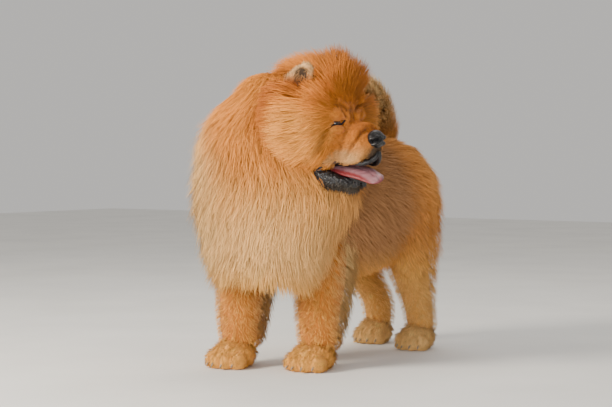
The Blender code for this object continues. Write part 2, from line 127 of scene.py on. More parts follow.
class Wire:
    # One output socket, so that sums on it read as plain Python
    def __init__(self, tree, socket):
        self.tree = tree
        self.socket = socket

    def sum(self, kind, first, second):
        step = self.tree.nodes.new("ShaderNodeMath")
        step.operation = kind
        for slot, value in zip(step.inputs, (first, second)):
            if isinstance(value, Wire):
                self.tree.links.new(value.socket, slot)
            else:
                slot.default_value = value
        return Wire(self.tree, step.outputs[0])

    __add__ = __radd__ = operator("ADD")
    __mul__ = __rmul__ = operator("MULTIPLY")
    __sub__, __rsub__ = operator("SUBTRACT"), operator("SUBTRACT", True)
    __truediv__, __rtruediv__ = operator("DIVIDE"), operator("DIVIDE", True)
    __pow__, __rpow__ = operator("POWER"), operator("POWER", True)


class Paint:
    # A material under construction. Finish is the Principled shader's own fixed values.
    def __init__(self, name, finish):
        self.material = bpy.data.materials.new(name)
        self.material.use_nodes = True
        self.tree = self.material.node_tree
        self.shader = self.tree.nodes["Principled BSDF"]
        for socket, value in finish.items():
            self.shader.inputs[socket].default_value = value

    def put(self, kind, settings=None, values=None, output=0):
        node = self.tree.nodes.new(kind)
        for key, value in (settings or {}).items():
            setattr(node, key, value)
        for key, value in (values or {}).items():
            socket = node.inputs[key]
            if isinstance(value, Wire):
                self.tree.links.new(value.socket, socket)
            elif isinstance(value, tuple) and len(value) == 3 and socket.type == "RGBA":
                socket.default_value = (*value, 1.0)
            else:
                socket.default_value = value
        return Wire(self.tree, node.outputs[output])

    def attribute(self, name, output="Fac"):
        return self.put("ShaderNodeAttribute", {"attribute_name": name}, output=output)

    def place(self, stretch=(1.0, 1.0, 1.0)):
        spot = self.put("ShaderNodeTexCoord", output="Object")
        return self.put("ShaderNodeVectorMath", {"operation": "MULTIPLY"}, {0: spot, 1: stretch})

    def noise(self, vector, scale, detail=2.0, rough=0.5):
        return self.put("ShaderNodeTexNoise", {}, {"Vector": vector, "Scale": scale, "Detail": detail,
                                                   "Roughness": rough})

    def join(self, x, y, z):
        return self.put("ShaderNodeCombineXYZ", {}, {"X": x, "Y": y, "Z": z})

    def ramp(self, value, stops):
        ramp = self.put("ShaderNodeValToRGB", {}, {"Fac": value})
        for stop, (place, shade) in zip(ramp.socket.node.color_ramp.elements, stops):
            stop.position = place
            stop.color = (*shade, 1.0)
        return ramp

    def mix(self, factor, first, second, blend="MIX"):
        return self.put("ShaderNodeMix", {"data_type": "RGBA", "blend_type": blend},
                        {"Factor": factor, 6: first, 7: second}, output=2)

    def clamp(self, value):
        return self.put("ShaderNodeClamp", {}, {"Value": value})

    def feed(self, socket, wire):
        self.tree.links.new(wire.socket, self.shader.inputs[socket])

    def bump(self, height, distance):
        self.feed("Normal", self.put("ShaderNodeBump", {}, {"Height": height, "Distance": distance}))


# The body's forms, with the same sizes as the solids

class Form:
    # A soft tube on a curved spine. A row is the spine's point, then how far the coat's tips reach
    # to the side, over and under it, then how far inside the tips the skin lies on each of these.
    def __init__(self, rows, hint, caps, squareTo=None, place=None):
        self.rows = np.array(rows, float)
        self.hint = np.array(hint, float)
        self.caps = caps
        self.squareTo = squareTo
        self.last = len(rows) - 1
        self.place = np.array(place if place is not None else Matrix.Translation(bodyShift))

    def values(self, s):
        # A smooth curve through the rows
        i = np.clip(np.floor(s).astype(int), 0, self.last - 1)
        t = (s - i)[:, None]
        row = self.rows
        p0, p1 = row[np.clip(i - 1, 0, self.last)], row[i]
        p2, p3 = row[i + 1], row[np.clip(i + 2, 0, self.last)]
        return 0.5 * (2 * p1 + (p2 - p0) * t + (2 * p0 - 5 * p1 + 4 * p2 - p3) * t**2
                      + (3 * p1 - p0 - 3 * p2 + p3) * t**3)

    def points(self, s, turn, depth):
        # s runs from -1 to last + 1 with a dome past each end; depth 0 is the skin and 1 the tips
        s, turn, depth = np.broadcast_arrays(*(np.asarray(a, float) for a in (s, turn, depth)))
        shape = s.shape
        s, turn, depth = s.ravel(), turn.ravel(), depth.ravel()
        inner = np.clip(s, 0, self.last)
        step = 0.01
        if self.squareTo is not None:
            along = np.tile(self.squareTo, (len(s), 1)).astype(float)
        else:
            ahead = self.values(np.clip(inner + step, 0, self.last))[:, :3]
            along = ahead - self.values(np.clip(inner - step, 0, self.last))[:, :3]
        along = unit(along)
        aside = unit(np.cross(self.hint, along))
        over = np.cross(along, aside)
        v = self.values(inner)
        bare = 1 - depth
        wide = v[:, 3] - v[:, 6] * bare
        high = np.where(np.cos(turn) > 0, v[:, 4] - v[:, 7] * bare, v[:, 5] - v[:, 8] * bare)
        past = s - inner
        bend = np.abs(past) * pi / 2
        cap = np.where(past < 0, self.caps[0], self.caps[1]) * (1 - 0.5 * bare)
        out = aside * (wide * np.sin(turn))[:, None] + over * (high * np.cos(turn))[:, None]
        spots = (v[:, :3] + out * np.cos(bend)[:, None]
                 + along * (np.sign(past) * cap * np.sin(bend))[:, None])
        return (spots @ self.place[:3, :3].T + self.place[:3, 3]).reshape(*shape, 3)

    def fill(self, bm, rings, sides, depth=0.0, dome=6):
        levels = np.concatenate([np.linspace(-1, 0, dome, endpoint=False)[1:],
                                 np.linspace(0, self.last, rings),
                                 self.last + np.linspace(0, 1, dome, endpoint=False)[1:]])
        turns = np.arange(sides) * 2 * pi / sides
        grid = self.points(levels[:, None], turns[None, :], depth)
        loops = [[bm.verts.new(p) for p in row] for row in grid]
        for low, high in zip(loops, loops[1:]):
            for k in range(sides):
                n = (k + 1) % sides
                bm.faces.new((low[k], low[n], high[n], high[k]))
        for loop, end in ((loops[0], -1.0), (loops[-1], self.last + 1.0)):
            tip = bm.verts.new(self.points(np.array([end]), np.array([0.0]), depth)[0])
            for k in range(sides):
                bm.faces.new((loop[k], loop[(k + 1) % sides], tip))


def unit(vectors):
    return vectors / (np.linalg.norm(vectors, axis=-1, keepdims=True) + 1e-12)


headPlace = (Matrix.Translation(bodyShift + Vector((0.13, -0.21, 0.575)))
             @ Matrix.Rotation(radians(-2), 4, "Z"))
headTurn = np.array(headPlace)[:3, :3].T
up, back = (0.0, 0.0, 1.0), (0.0, 1.0, 0.0)

torsoForm = Form([
    (0.010, -0.200, 0.375, 0.150, 0.140, 0.150, 0.034, 0.030, 0.030),
    (0.008, -0.110, 0.372, 0.180, 0.170, 0.178, 0.040, 0.036, 0.034),
    (0.004, 0.000, 0.370, 0.183, 0.173, 0.184, 0.040, 0.036, 0.034),
    (0.000, 0.110, 0.372, 0.182, 0.172, 0.184, 0.040, 0.036, 0.034),
    (0.000, 0.220, 0.378, 0.176, 0.168, 0.172, 0.042, 0.036, 0.034),
    (0.000, 0.300, 0.376, 0.141, 0.146, 0.138, 0.040, 0.036, 0.034),
], up, (0.06, 0.085), back)
rumpForm = Form([
    (0.0, 0.245, 0.270, 0.140, 0.110, 0.080, 0.040, 0.040, 0.030),
    (0.0, 0.240, 0.350, 0.165, 0.145, 0.100, 0.045, 0.045, 0.030),
    (0.0, 0.235, 0.430, 0.160, 0.136, 0.100, 0.045, 0.045, 0.030),
    (0.0, 0.230, 0.490, 0.120, 0.100, 0.080, 0.036, 0.036, 0.030),
], back, (0.05, 0.04), up)
maneForm = Form([
    (-0.014, -0.230, 0.262, 0.155, 0.070, 0.104, 0.054, 0.030, 0.038),
    (-0.004, -0.220, 0.335, 0.204, 0.122, 0.130, 0.068, 0.042, 0.046),
    (0.000, -0.205, 0.400, 0.230, 0.146, 0.144, 0.070, 0.046, 0.050),
    (-0.010, -0.200, 0.460, 0.216, 0.158, 0.148, 0.068, 0.050, 0.052),
    (-0.030, -0.195, 0.520, 0.190, 0.158, 0.146, 0.064, 0.050, 0.052),
    (-0.015, -0.195, 0.580, 0.160, 0.146, 0.140, 0.056, 0.050, 0.050),
    (0.020, -0.200, 0.640, 0.118, 0.118, 0.114, 0.044, 0.040, 0.040),
], back, (0.075, 0.050), up)
tailForm = Form([
    (-0.018, 0.275, 0.500, 0.045, 0.045, 0.045, 0.022, 0.022, 0.022),
    (-0.018, 0.255, 0.570, 0.060, 0.052, 0.050, 0.034, 0.030, 0.026),
    (-0.018, 0.200, 0.614, 0.070, 0.074, 0.064, 0.040, 0.042, 0.032),
    (-0.018, 0.125, 0.614, 0.077, 0.086, 0.070, 0.044, 0.048, 0.036),
    (-0.014, 0.065, 0.580, 0.066, 0.070, 0.056, 0.039, 0.040, 0.030),
], (0, 1, 0.001), (0.03, 0.045))
headForm = Form([
    (-0.100, 0.006, -0.005, 0.128, 0.134, 0.108, 0.050, 0.052, 0.040),
    (-0.055, 0.008, -0.005, 0.158, 0.154, 0.137, 0.062, 0.064, 0.050),
    (-0.015, 0.008, -0.005, 0.170, 0.155, 0.152, 0.068, 0.062, 0.055),
    (0.018, 0.008, -0.005, 0.170, 0.148, 0.154, 0.070, 0.057, 0.055),
    (0.048, 0.008, -0.005, 0.156, 0.120, 0.142, 0.068, 0.046, 0.050),
], up, (0.03, 0.030), None, headPlace)

pawSpots = {"fore": {-1: (-0.088, -0.235), 1: (0.092, -0.175)},
            "hind": {-1: (-0.075, 0.345), 1: (0.085, 0.29)}}
pawWidths = {"fore": 0.098, "hind": 0.084}


def legForm(kind, side):
    x, y = pawSpots[kind][side]
    if kind == "fore":
        rows = [
            (x - 0.014, y + 0.046, 0.3, 0.078, 0.062, 0.094, 0.018, 0.012, 0.046),
            (x - 0.008, y + 0.03, 0.2, 0.067, 0.054, 0.114, 0.01, 0.008, 0.056),
            (x - 0.003, y + 0.012, 0.12, 0.055, 0.049, 0.102, 0.007, 0.006, 0.052),
            (x, y + 0.01, 0.06, 0.047, 0.047, 0.072, 0.006, 0.006, 0.03),
        ]
    else:
        rows = [
            (side * 0.095, 0.19, 0.38, 0.085, 0.11, 0.13, 0.028, 0.03, 0.04),
            (side * 0.1, 0.195, 0.28, 0.082, 0.095, 0.125, 0.028, 0.026, 0.05),
            (0.04 * side + 0.6 * x, 0.5 * y + 0.095, 0.19, 0.058, 0.064, 0.085, 0.014, 0.012, 0.04),
            (x, y - 0.01, 0.115, 0.043, 0.042, 0.056, 0.007, 0.006, 0.018),
            (x, y + 0.004, 0.055, 0.038, 0.036, 0.052, 0.006, 0.006, 0.016),
        ]
    return Form(rows, (0, -1, 0), (0.05, 0.03), (0.0, 0.0, -1.0))


legForms = {(kind, side): legForm(kind, side) for kind in ("fore", "hind") for side in (-1, 1)}


# Mesh helpers

def plainForm(rows, caps, hint=up, place=headPlace):
    return Form([(*row, 0, 0, 0) for row in rows], hint, caps, None, place)


def tube(path, radii, place=headPlace):
    # A soft tube through the points, with a radius at each, as meshOf takes it
    rows = [(*point, radius, radius, radius) for point, radius in zip(path, radii)]
    return plainForm(rows, (radii[0], radii[-1]), place=place), 8 * len(rows), 16, 1.0, 5


def addBall(bm, place, centre, radii, tilt=(0.0, 0.0, 0.0), sides=32):
    spot = place @ Matrix.Translation(centre)
    for angle, axis in zip(tilt, "XYZ"):
        spot = spot @ Matrix.Rotation(angle, 4, axis)
    bmesh.ops.create_uvsphere(bm, u_segments=sides, v_segments=sides // 2, radius=1.0,
                              matrix=spot @ Matrix.Diagonal((*radii, 1.0)))


def flip(path, side):
    return [(x, side * y, z) for x, y, z in path]


def bothSides(balls):
    # The same balls, and each that lies off the middle on both sides
    return [((x, side * y, z), *rest) for (x, y, z), *rest in balls for side in ((-1, 1) if y else (1,))]


def meshOf(name, forms=(), balls=(), place=headPlace, blend=None):
    # Forms with their rings, sides, depth and dome, and balls, blended by voxel size and rounds
    bm = bmesh.new()
    for form, *detail in forms:
        form.fill(bm, *detail)
    for ball in balls:
        addBall(bm, place, *ball)
    bmesh.ops.recalc_face_normals(bm, faces=bm.faces[:])
    mesh = bpy.data.meshes.new(name)
    bm.to_mesh(mesh)
    bm.free()
    obj = show(name, mesh)
    if blend:
        blendShapes(obj, *blend)
    return obj


def blendShapes(obj, voxel, rounds):
    remesh = obj.modifiers.new("blend", "REMESH")
    remesh.mode = "VOXEL"
    remesh.voxel_size = voxel
    smooth = obj.modifiers.new("smooth", "SMOOTH")
    smooth.iterations = rounds
    smooth.factor = 0.5
    applyAll(obj)


def applyAll(obj):
    graph = bpy.context.evaluated_depsgraph_get()
    mesh = bpy.data.meshes.new_from_object(obj.evaluated_get(graph))
    obj.modifiers.clear()
    old = obj.data
    obj.data = mesh
    bpy.data.meshes.remove(old)


def pull(items, name, wide, kind=np.float32):
    found = np.empty(len(items) * wide, kind)
    items.foreach_get(name, found)
    return found.reshape(-1, wide)


def vertsOf(obj):
    return pull(obj.data.vertices, "co", 3).astype(float)


def normalsOf(obj):
    return pull(obj.data.vertices, "normal", 3).astype(float)


def moveTo(obj, spots):
    obj.data.vertices.foreach_set("co", spots.ravel())


def mark(mesh, name, numbers):
    mesh.attributes.new(name, "FLOAT", "POINT").data.foreach_set("value", np.ravel(numbers))


def treeOf(obj):
    return BVHTree.FromPolygons([tuple(v) for v in vertsOf(obj)],
                                [tuple(p.vertices) for p in obj.data.polygons])


def ease(low, high, value):
    t = np.clip((value - low) / (high - low), 0, 1)
    return t * t * (3 - 2 * t)


def toHead(spots):
    inverse = np.array(headPlace.inverted())
    return spots @ inverse[:3, :3].T + inverse[:3, 3]


def fromHead(spots):
    return spots @ headTurn + np.array(headPlace)[:3, 3]


def pathDistance(spots, path):
    # How far each point is from a path, and how far along the path that is, from 0 to 1
    path = np.array(path, float)
    lengths = np.linalg.norm(np.diff(path, axis=0), axis=1)
    ends = np.concatenate([[0], np.cumsum(lengths)]) / lengths.sum()
    best = np.full(len(spots), 1e9)
    share = np.zeros(len(spots))
    for k, (a, b) in enumerate(zip(path, path[1:])):
        line = b - a
        t = np.clip((spots - a) @ line / (line @ line), 0, 1)
        gap = np.linalg.norm(spots - a - t[:, None] * line, axis=1)
        near = gap < best
        best[near] = gap[near]
        share[near] = (ends[k] + t * (ends[k + 1] - ends[k]))[near]
    return best, share


def ovalGap(spots, centre, radii):
    # 1 on an oval and less inside it
    return np.linalg.norm((spots - centre) / radii, axis=1)


# Colours of skin and coat, with painted shade, by place; umber is used only for painted shade

palette = {
    "cinnamon": (0.8, 0.265, 0.032), "deep": (0.44, 0.105, 0.01), "pale": (0.97, 0.54, 0.17),
    "cream": (0.94, 0.67, 0.33), "beige": (0.8, 0.5, 0.2), "umber": (0.2, 0.075, 0.02),
    "gold": (1.0, 0.49, 0.105), "smoke": (0.075, 0.055, 0.04), "ash": (0.21, 0.185, 0.155),
}


def shade(tint, *layers):
    # Lays colours over one another, each through its mask
    for mask, name in layers:
        cover = np.clip(mask, 0, 1) * np.ones(len(tint))
        tint = tint + (np.array(palette[name]) - tint) * cover[:, None]
    return tint


def oval(spots, centre, radii):
    return 1 - ease(0.6, 1.15, ovalGap(spots, centre, radii))


def coatTintAndShade(spots, region):
    # The same markings for the skin and every tuft, with painted shade on the flank, in the grooves behind
    # the ears and in the face's folds, worked out from where the root is
    head = toHead(spots)
    x, y, z = (spots - np.array(bodyShift)).T
    ahead, high = head[:, 0], head[:, 2]
    mirrored = head * (1, 0, 1) + np.abs(head) * (0, 1, 0)
    # Painted shade: the groove behind each ear, on the head and on the mane beside it, is darkened towards
    # the deep colour
    behind = -0.075 if region == "mane" else -0.032
    groove = oval(mirrored, (behind, 0.115, 0.012), (0.052, 0.075, 0.1))
    tint = np.tile(palette["cinnamon"], (len(spots), 1))
    if region in ("torso", "rump", "hind"):
        # Painted shade: umber and ash darken the body ahead of the hind legs from about 0.2 m up, over the
        # back and both sides alike, for the shade on the flank
        flankShade = ease(0.16, 0.04, y) * ease(0.2, 0.28, z)
        tint = shade(tint, (0.2, "beige"), (0.25 * ease(0.1, 0.3, y), "pale"),
                     (0.3 * flankShade, "umber"), (0.34 * flankShade, "ash"), (0.8 * ease(0.33, 0.18, z), "gold"),
                     (0.3 * ease(0.24, 0.15, z) * ease(0.2, 0.1, y), "cream"))
    if region == "mane":
        front = ease(-0.18, -0.27, y)
        nearHead = ease(1.5, 1.02, ovalGap(head, (-0.02, 0, -0.005), (0.165, 0.17, 0.155)))
        tint = shade(tint, (0.5 * ease(0.66, 0.52, z), "beige"),
                     (0.55 * ease(-0.02, -0.12, x) * ease(0.66, 0.56, z), "cream"),
                     (0.45 * front * ease(0.46, 0.34, z), "cream"), (0.3 * front, "gold"),
                     (0.45 * ease(-0.14, -0.2, x), "gold"), (0.75 * ease(0.275, 0.225, z), "gold"),
                     (0.8 * nearHead * ease(-0.17, -0.05, high), "cinnamon"), (0.75 * groove, "deep"))
    if region == "tail":
        tint = shade(tint, (0.4 + 0.45 * ease(0.5, 0.6, z), "pale"),
                     (0.6 * ease(0.5, 0.63, z), "cream"))
    if region == "fore":
        rear = ease(-0.02, 0.05, y - np.where(x > 0, -0.175, -0.235)) * ease(0.05, 0.1, z)
        tint = shade(tint, (0.75, "gold"), (0.8 * rear, "pale"), (0.5 * rear, "cream"))
    if region == "hind":
        # Paler gold low on the hind legs: partly the legs' own colour, partly painted sunlight on them
        tint = shade(tint, (0.8 * ease(0.32, 0.12, z), "gold"), (0.4 * ease(0.24, 0.08, z), "cream"))
    if region in ("head", "face", "ear"):
        low = ease(-0.03, -0.12, high) * ease(0.06, 0.01, ahead)
        tint = shade(tint, (0.7 * oval(mirrored, (-0.015, 0.075, 0.05), (0.05, 0.045, 0.06)), "deep"),
                     (0.85 * groove, "deep"),
                     (0.45 * oval(head, (0.065, 0, 0.045), (0.05, 0.1, 0.05)), "deep"),
                     (0.3 * ease(0.03, 0.1, high), "deep"), (0.55 * low, "pale"),
                     (0.45 * ease(-0.03, -0.1, ahead) * low, "beige"),
                     (0.35 * oval(mirrored, (0.04, 0.08, -0.03), (0.05, 0.05, 0.05)), "gold"))
    if region == "face":
        muzzle = ease(0.07, 0.13, ahead)
        # Painted shade: the bottoms of the face's folds are darkened towards umber
        tint = shade(tint, (0.35 * ease(0.05, 0.09, ahead), "deep"),
                     (0.4 * oval(head, (0.115, 0, -0.03), (0.035, 0.045, 0.025)), "deep"),
                     (0.45 * muzzle * ease(-0.05, -0.095, high), "beige"),
                     (0.35 * oval(mirrored, (0.085, 0.045, -0.094), (0.045, 0.03, 0.02)), "cream"),
                     (0.95 * oval(head, (0.15, 0, -0.088), (0.02, 0.026, 0.03)), "smoke"),
                     (0.85 * creaseMask(head), "umber"))
    if region == "jaw":
        tint = shade(tint, (1.0, "smoke"), (0.35 * ease(-0.155, -0.175, high), "ash"),
                     (ease(0.03, -0.005, ahead), "pale"))
    return tint


def paintMesh(mesh, tint, **values):
    layer = mesh.attributes.new("tint", "FLOAT_COLOR", "POINT")
    layer.data.foreach_set("color", np.column_stack([tint, np.ones(len(tint))]).ravel())
    for name, numbers in values.items():
        mark(mesh, name, numbers)


# Finishes

def furPaint():
    paint = Paint("fur", {"Roughness": 0.78, "Specular IOR Level": 0.18, "Sheen Weight": 0.03,
                          "Sheen Roughness": 0.5, "Sheen Tint": (1.0, 0.86, 0.68, 1.0)})
    tint = paint.attribute("tint", "Color")
    along, tone, across = (paint.attribute(name) for name in ("along", "tone", "across"))
    streak = paint.noise(paint.join(across * 2.2 + tone * 40, along * 1.6, tone * 90), 1.6, 3.0, 0.7)
    # Darker at the root and lighter out to the tip: partly the hair's own colour, partly painted shade deep
    # in the coat; tone and streak vary at random
    light = (along ** 1.2) * 0.42 + 0.64 + (tone - 0.5) * 0.24 + (streak - 0.5) * 0.3
    lit = paint.mix(1.0, tint, paint.join(light, light, light), "MULTIPLY")
    # Paler tips: partly the hair's own colour, partly painted light glowing through the tips
    tip = paint.clamp((along - 0.5) * 0.9) * paint.clamp(tone * 1.4 - 0.2)
    paint.feed("Base Color", paint.mix(tip * 0.16, lit, (0.95, 0.66, 0.32)))
    paint.bump(streak, 0.0006)
    return paint.material


def skinPaint():
    paint = Paint("skin", {"Roughness": 0.85, "Specular IOR Level": 0.15, "Sheen Weight": 0.2,
                           "Sheen Roughness": 0.6, "Sheen Tint": (1.0, 0.86, 0.68, 1.0)})
    nap = paint.noise(paint.place((1.0, 1.0, 0.35)), 420.0, 4.0, 0.65)
    light = nap * 0.55 + paint.noise(paint.place(), 34.0, 3.0) * 0.35 + 0.38
    tint = paint.attribute("tint", "Color")
    paint.feed("Base Color", paint.mix(1.0, tint, paint.join(light, light, light), "MULTIPLY"))
    paint.bump(nap, 0.0016)
    return paint.material


# One noise gives the colour between two stops, the roughness, the wet coat and the relief
cloudy = {
    "nose": {"name": "nose leather", "fixed": {"Specular IOR Level": 0.32, "Coat Roughness": 0.08},
             "noise": (60.0,), "stops": [(0.3, (0.004, 0.004, 0.005)), (0.8, (0.014, 0.012, 0.012))],
             "rough": 0.22, "vary": 0.16, "coat": 0.3},
    "lip": {"name": "lip and gum", "fixed": {"Specular IOR Level": 0.35, "Coat Roughness": 0.08},
            "stretch": (1.0, 1.0, 0.5), "noise": (190.0, 4.0, 0.6),
            "stops": [(0.35, (0.003, 0.003, 0.003)), (0.75, (0.02, 0.016, 0.017))],
            "rough": 0.22, "vary": 0.35, "coat": 0.55, "relief": 0.0028},
    "claw": {"name": "claw", "fixed": {"Specular IOR Level": 0.5}, "stretch": (1.0, 0.15, 1.0),
             "noise": (500.0, 3.0), "stops": [(0.3, (0.15, 0.115, 0.08)), (0.8, (0.38, 0.31, 0.23))],
             "rough": 0.45, "vary": 0.3, "relief": 0.0004},
    "floor": {"name": "floor", "fixed": {"Specular IOR Level": 0.2}, "noise": (3.0, 4.0),
              "stops": [(place, tuple(c * by for c in floor["colour"]))
                        for place, by in ((0.3, 0.96), (0.7, 1.04))],
              "rough": 0.75, "vary": 0.15},
}


def cloudyPaint(plan):
    paint = Paint(plan["name"], plan["fixed"])
    cloud = paint.noise(paint.place(plan.get("stretch", (1.0, 1.0, 1.0))), *plan["noise"])
    paint.feed("Base Color", paint.ramp(cloud, plan["stops"]))
    paint.feed("Roughness", plan["rough"] + cloud * plan["vary"])
    if "coat" in plan:
        paint.feed("Coat Weight", cloud * plan["coat"])
    if "relief" in plan:
        paint.bump(cloud, plan["relief"])
    return paint


def nosePaint():
    paint = cloudyPaint(cloudy["nose"])
    pebble = paint.put("ShaderNodeTexVoronoi", {"feature": "DISTANCE_TO_EDGE"},
                       {"Vector": paint.place(), "Scale": 620.0})
    paint.bump(paint.clamp(pebble * 9), 0.0004)
    return paint.material


def tonguePaint():
    paint = Paint("tongue", {"Specular IOR Level": 0.5, "Coat Roughness": 0.1,
                             "Subsurface Weight": 0.15, "Subsurface Radius": (0.006, 0.002, 0.002)})
    grain = paint.noise(paint.place(), 900.0, 3.0)
    cloud = paint.noise(paint.place(), 55.0, 3.0)
    top = paint.ramp(cloud, [(0.3, (0.31, 0.12, 0.14)), (0.7, (0.42, 0.21, 0.225))])
    paint.feed("Base Color", paint.mix(paint.attribute("edge"), top, (0.2, 0.014, 0.018)))
    paint.feed("Roughness", 0.32 + grain * 0.25)
    paint.feed("Coat Weight", 0.15 + cloud * 0.35)
    paint.bump(grain, 0.0008)
    return paint.material


def eyePaint():
    paint = Paint("eye", {"Roughness": 0.12, "Specular IOR Level": 0.5, "Coat Weight": 0.4,
                          "Coat Roughness": 0.03})
    ring = paint.attribute("ring")
    iris = paint.ramp(paint.noise(paint.place(), 700.0, 3.0),
                      [(0.3, (0.03, 0.011, 0.004)), (0.75, (0.095, 0.04, 0.014))])
    bare = paint.mix(paint.clamp((ring - 0.62) * 12), iris, (0.16, 0.12, 0.1))
    paint.feed("Base Color", paint.mix(paint.clamp((0.3 - ring) * 30), bare, (0.003, 0.003, 0.003)))
    return paint.material


finishes = {"fur": furPaint(), "skin": skinPaint(), "nose": nosePaint(), "tongue": tonguePaint(),
            "eye": eyePaint(),
            **{key: cloudyPaint(cloudy[key]).material for key in ("lip", "claw", "floor")}}
print("finishes made")


# Face

eye = {"centre": (0.0665, 0.0395, -0.02), "radius": 0.0112, "look": (0.8, 0.6, 0.02)}
faceBalls = [
    ((0, 0, 0), (0.085, 0.074, 0.064)), ((0.01, 0, -0.085), (0.045, 0.05, 0.06)),
    ((0.122, 0, -0.068), (0.03, 0.0385, 0.03)), ((0.02, 0.045, -0.045), (0.06, 0.04, 0.048)),
    ((0.064, 0.037, 0.0), (0.023, 0.025, 0.017)), ((0.078, 0.0205, -0.008), (0.012, 0.009, 0.017)),
    ((0.07, 0.041, -0.034), (0.02, 0.024, 0.011)), ((0.092, 0.029, -0.084), (0.046, 0.0145, 0.026)),
    ((0.04, 0.04, -0.09), (0.028, 0.016, 0.026)),
]
muzzleForm = plainForm([(0.04, 0, -0.05, 0.046, 0.04, 0.04), (0.08, 0, -0.058, 0.043, 0.043, 0.042),
                        (0.118, 0, -0.062, 0.041, 0.042, 0.038)], (0.03, 0.034))
# Folds of the face on the left, mirrored to the right: a path, how wide and how deep
folds = {
    "eye slit": {"path": [(0.084, 0.026, -0.013), (0.079, 0.04, -0.02), (0.066, 0.053, -0.03),
                          (0.058, 0.06, -0.035)], "width": 0.0022, "depth": 0.005},
    "lid fold": {"path": [(0.087, 0.024, -0.008), (0.086, 0.03, 0.001), (0.08, 0.038, 0.006)],
                 "width": 0.003, "depth": 0.004},
    "brow fold": {"path": [(0.086, 0.01, 0.006), (0.078, 0.03, 0.02), (0.062, 0.05, 0.02)],
                  "width": 0.005, "depth": 0.0045},
    "cheek fold": {"path": [(0.058, 0.06, -0.035), (0.05, 0.064, -0.06), (0.04, 0.066, -0.088)],
                   "width": 0.0055, "depth": 0.006},
    "eye bag": {"path": [(0.098, 0.02, -0.018), (0.095, 0.036, -0.04), (0.085, 0.044, -0.062),
                         (0.076, 0.046, -0.082)], "width": 0.0042, "depth": 0.0045},
    "muzzle fold": {"path": [(0.138, 0.006, -0.03), (0.128, 0.026, -0.04), (0.1235, 0.036, -0.054),
                             (0.109, 0.041, -0.075), (0.0975, 0.042, -0.094)],
                    "width": 0.0042, "depth": 0.006},
    "forehead fold": {"path": [(0.092, 0.004, 0.022), (0.096, 0.007, -0.008)], "width": 0.004,
                      "depth": 0.005},
}
foldSwell = {"share": 0.3, "at": 2.2, "wide": 0.9}  # the skin heaped beside a fold, in fold widths


def foldTraces(head):
    # Each fold on each side: its depth, how far off it is in fold widths, and how full it is there
    for fold in folds.values():
        for side in (-1, 1):
            gap, share = pathDistance(head, flip(fold["path"], side))
            ends = 0.35 + 0.65 * np.clip(np.minimum(share, 1 - share) * 6, 0, 1) ** 0.5
            yield fold["depth"], gap / fold["width"], ends


def creaseMask(head):
    # 1 in the bottom of a fold, 0 away from all of them
    found = np.zeros(len(head))
    for _, gap, ends in foldTraces(head):
        found = np.maximum(found, ends * np.exp(-gap ** 2))
    return found


def slitGap(head):
    return np.minimum(*(pathDistance(head, flip(folds["eye slit"]["path"], side))[0] for side in (-1, 1)))


def snapFolds(tree):
    # Lays each fold's path on the face, so that a short list of points is enough
    for fold in folds.values():
        path = np.array(fold["path"])
        place = np.linspace(0, len(path) - 1, 5 * len(path))
        fine = np.column_stack([np.interp(place, range(len(path)), column) for column in path.T])
        found = [tree.find_nearest(Vector(spot))[0] for spot in fromHead(fine)]
        fold["path"] = [tuple(spot) for spot in toHead(np.array([tuple(spot) for spot in found]))]


def faceMesh():
    obj = meshOf("face", [(headForm, 24, 48, -0.06), (muzzleForm, 16, 40)], bothSides(faceBalls),
                 blend=(0.0019, 5))
    snapFolds(treeOf(obj))
    spots = vertsOf(obj)
    moved = np.zeros(len(spots))
    for depth, gap, ends in foldTraces(toHead(spots)):
        swell = np.exp(-((gap - foldSwell["at"]) / foldSwell["wide"]) ** 2)
        moved += depth * ends * (np.exp(-gap ** 2) - foldSwell["share"] * swell)
    moveTo(obj, spots - normalsOf(obj) * moved[:, None])
    paintMesh(obj.data, coatTintAndShade(spots, "face"))
    return obj


def jawMesh():
    form = plainForm([(0.0, 0, -0.137, 0.043, 0.022, 0.031), (0.045, 0, -0.143, 0.04, 0.02, 0.028),
                      (0.085, 0, -0.149, 0.033, 0.016, 0.022)], (0.02, 0.022))
    obj = meshOf("jaw", [(form, 20, 40)], blend=(0.002, 3))
    paintMesh(obj.data, coatTintAndShade(vertsOf(obj), "jaw"))
    return obj


def earMesh(side):
    form = plainForm([(-0.036, side * 0.062, 0.036, 0.03, 0.015, 0.013),
                      (-0.018, side * 0.069, 0.066, 0.029, 0.013, 0.011),
                      (0.006, side * 0.075, 0.091, 0.023, 0.009, 0.009),
                      (0.022, side * 0.078, 0.106, 0.012, 0.006, 0.007)], (0.008, 0.008),
                     (0.75, side * 0.62, 0))
    obj = meshOf("ear", [(form, 24, 40)])
    cup = ((0.006, side * 0.082, 0.078), (0.011, 0.02, 0.026), (0, 0.45, side * 0.69))
    cutter = meshOf("cup", balls=[cup])
    cut = obj.modifiers.new("cup", "BOOLEAN")
    cut.operation = "DIFFERENCE"
    cut.object = cutter
    bpy.context.view_layer.update()
    applyAll(obj)
    bpy.data.objects.remove(cutter)
    blendShapes(obj, 0.0017, 3)
    spots = vertsOf(obj)
    head = toHead(spots)
    # Painted shade: the hollow of the ear's cup is painted near black
    inside = oval(head, (0.004, side * 0.082, 0.08), (0.018, 0.022, 0.032))
    paintMesh(obj.data, shade(coatTintAndShade(spots, "ear"), (0.55 * ease(0.07, 0.1, head[:, 2]), "cream"),
                              (0.95 * inside, "smoke")))
    return obj


# Paws

toes = ((-0.36, 0.36), (-0.13, 0.46), (0.13, 0.46), (0.36, 0.36))  # aside in paw widths, ahead in lengths
pawStretch = 1.16  # a paw's length for its width


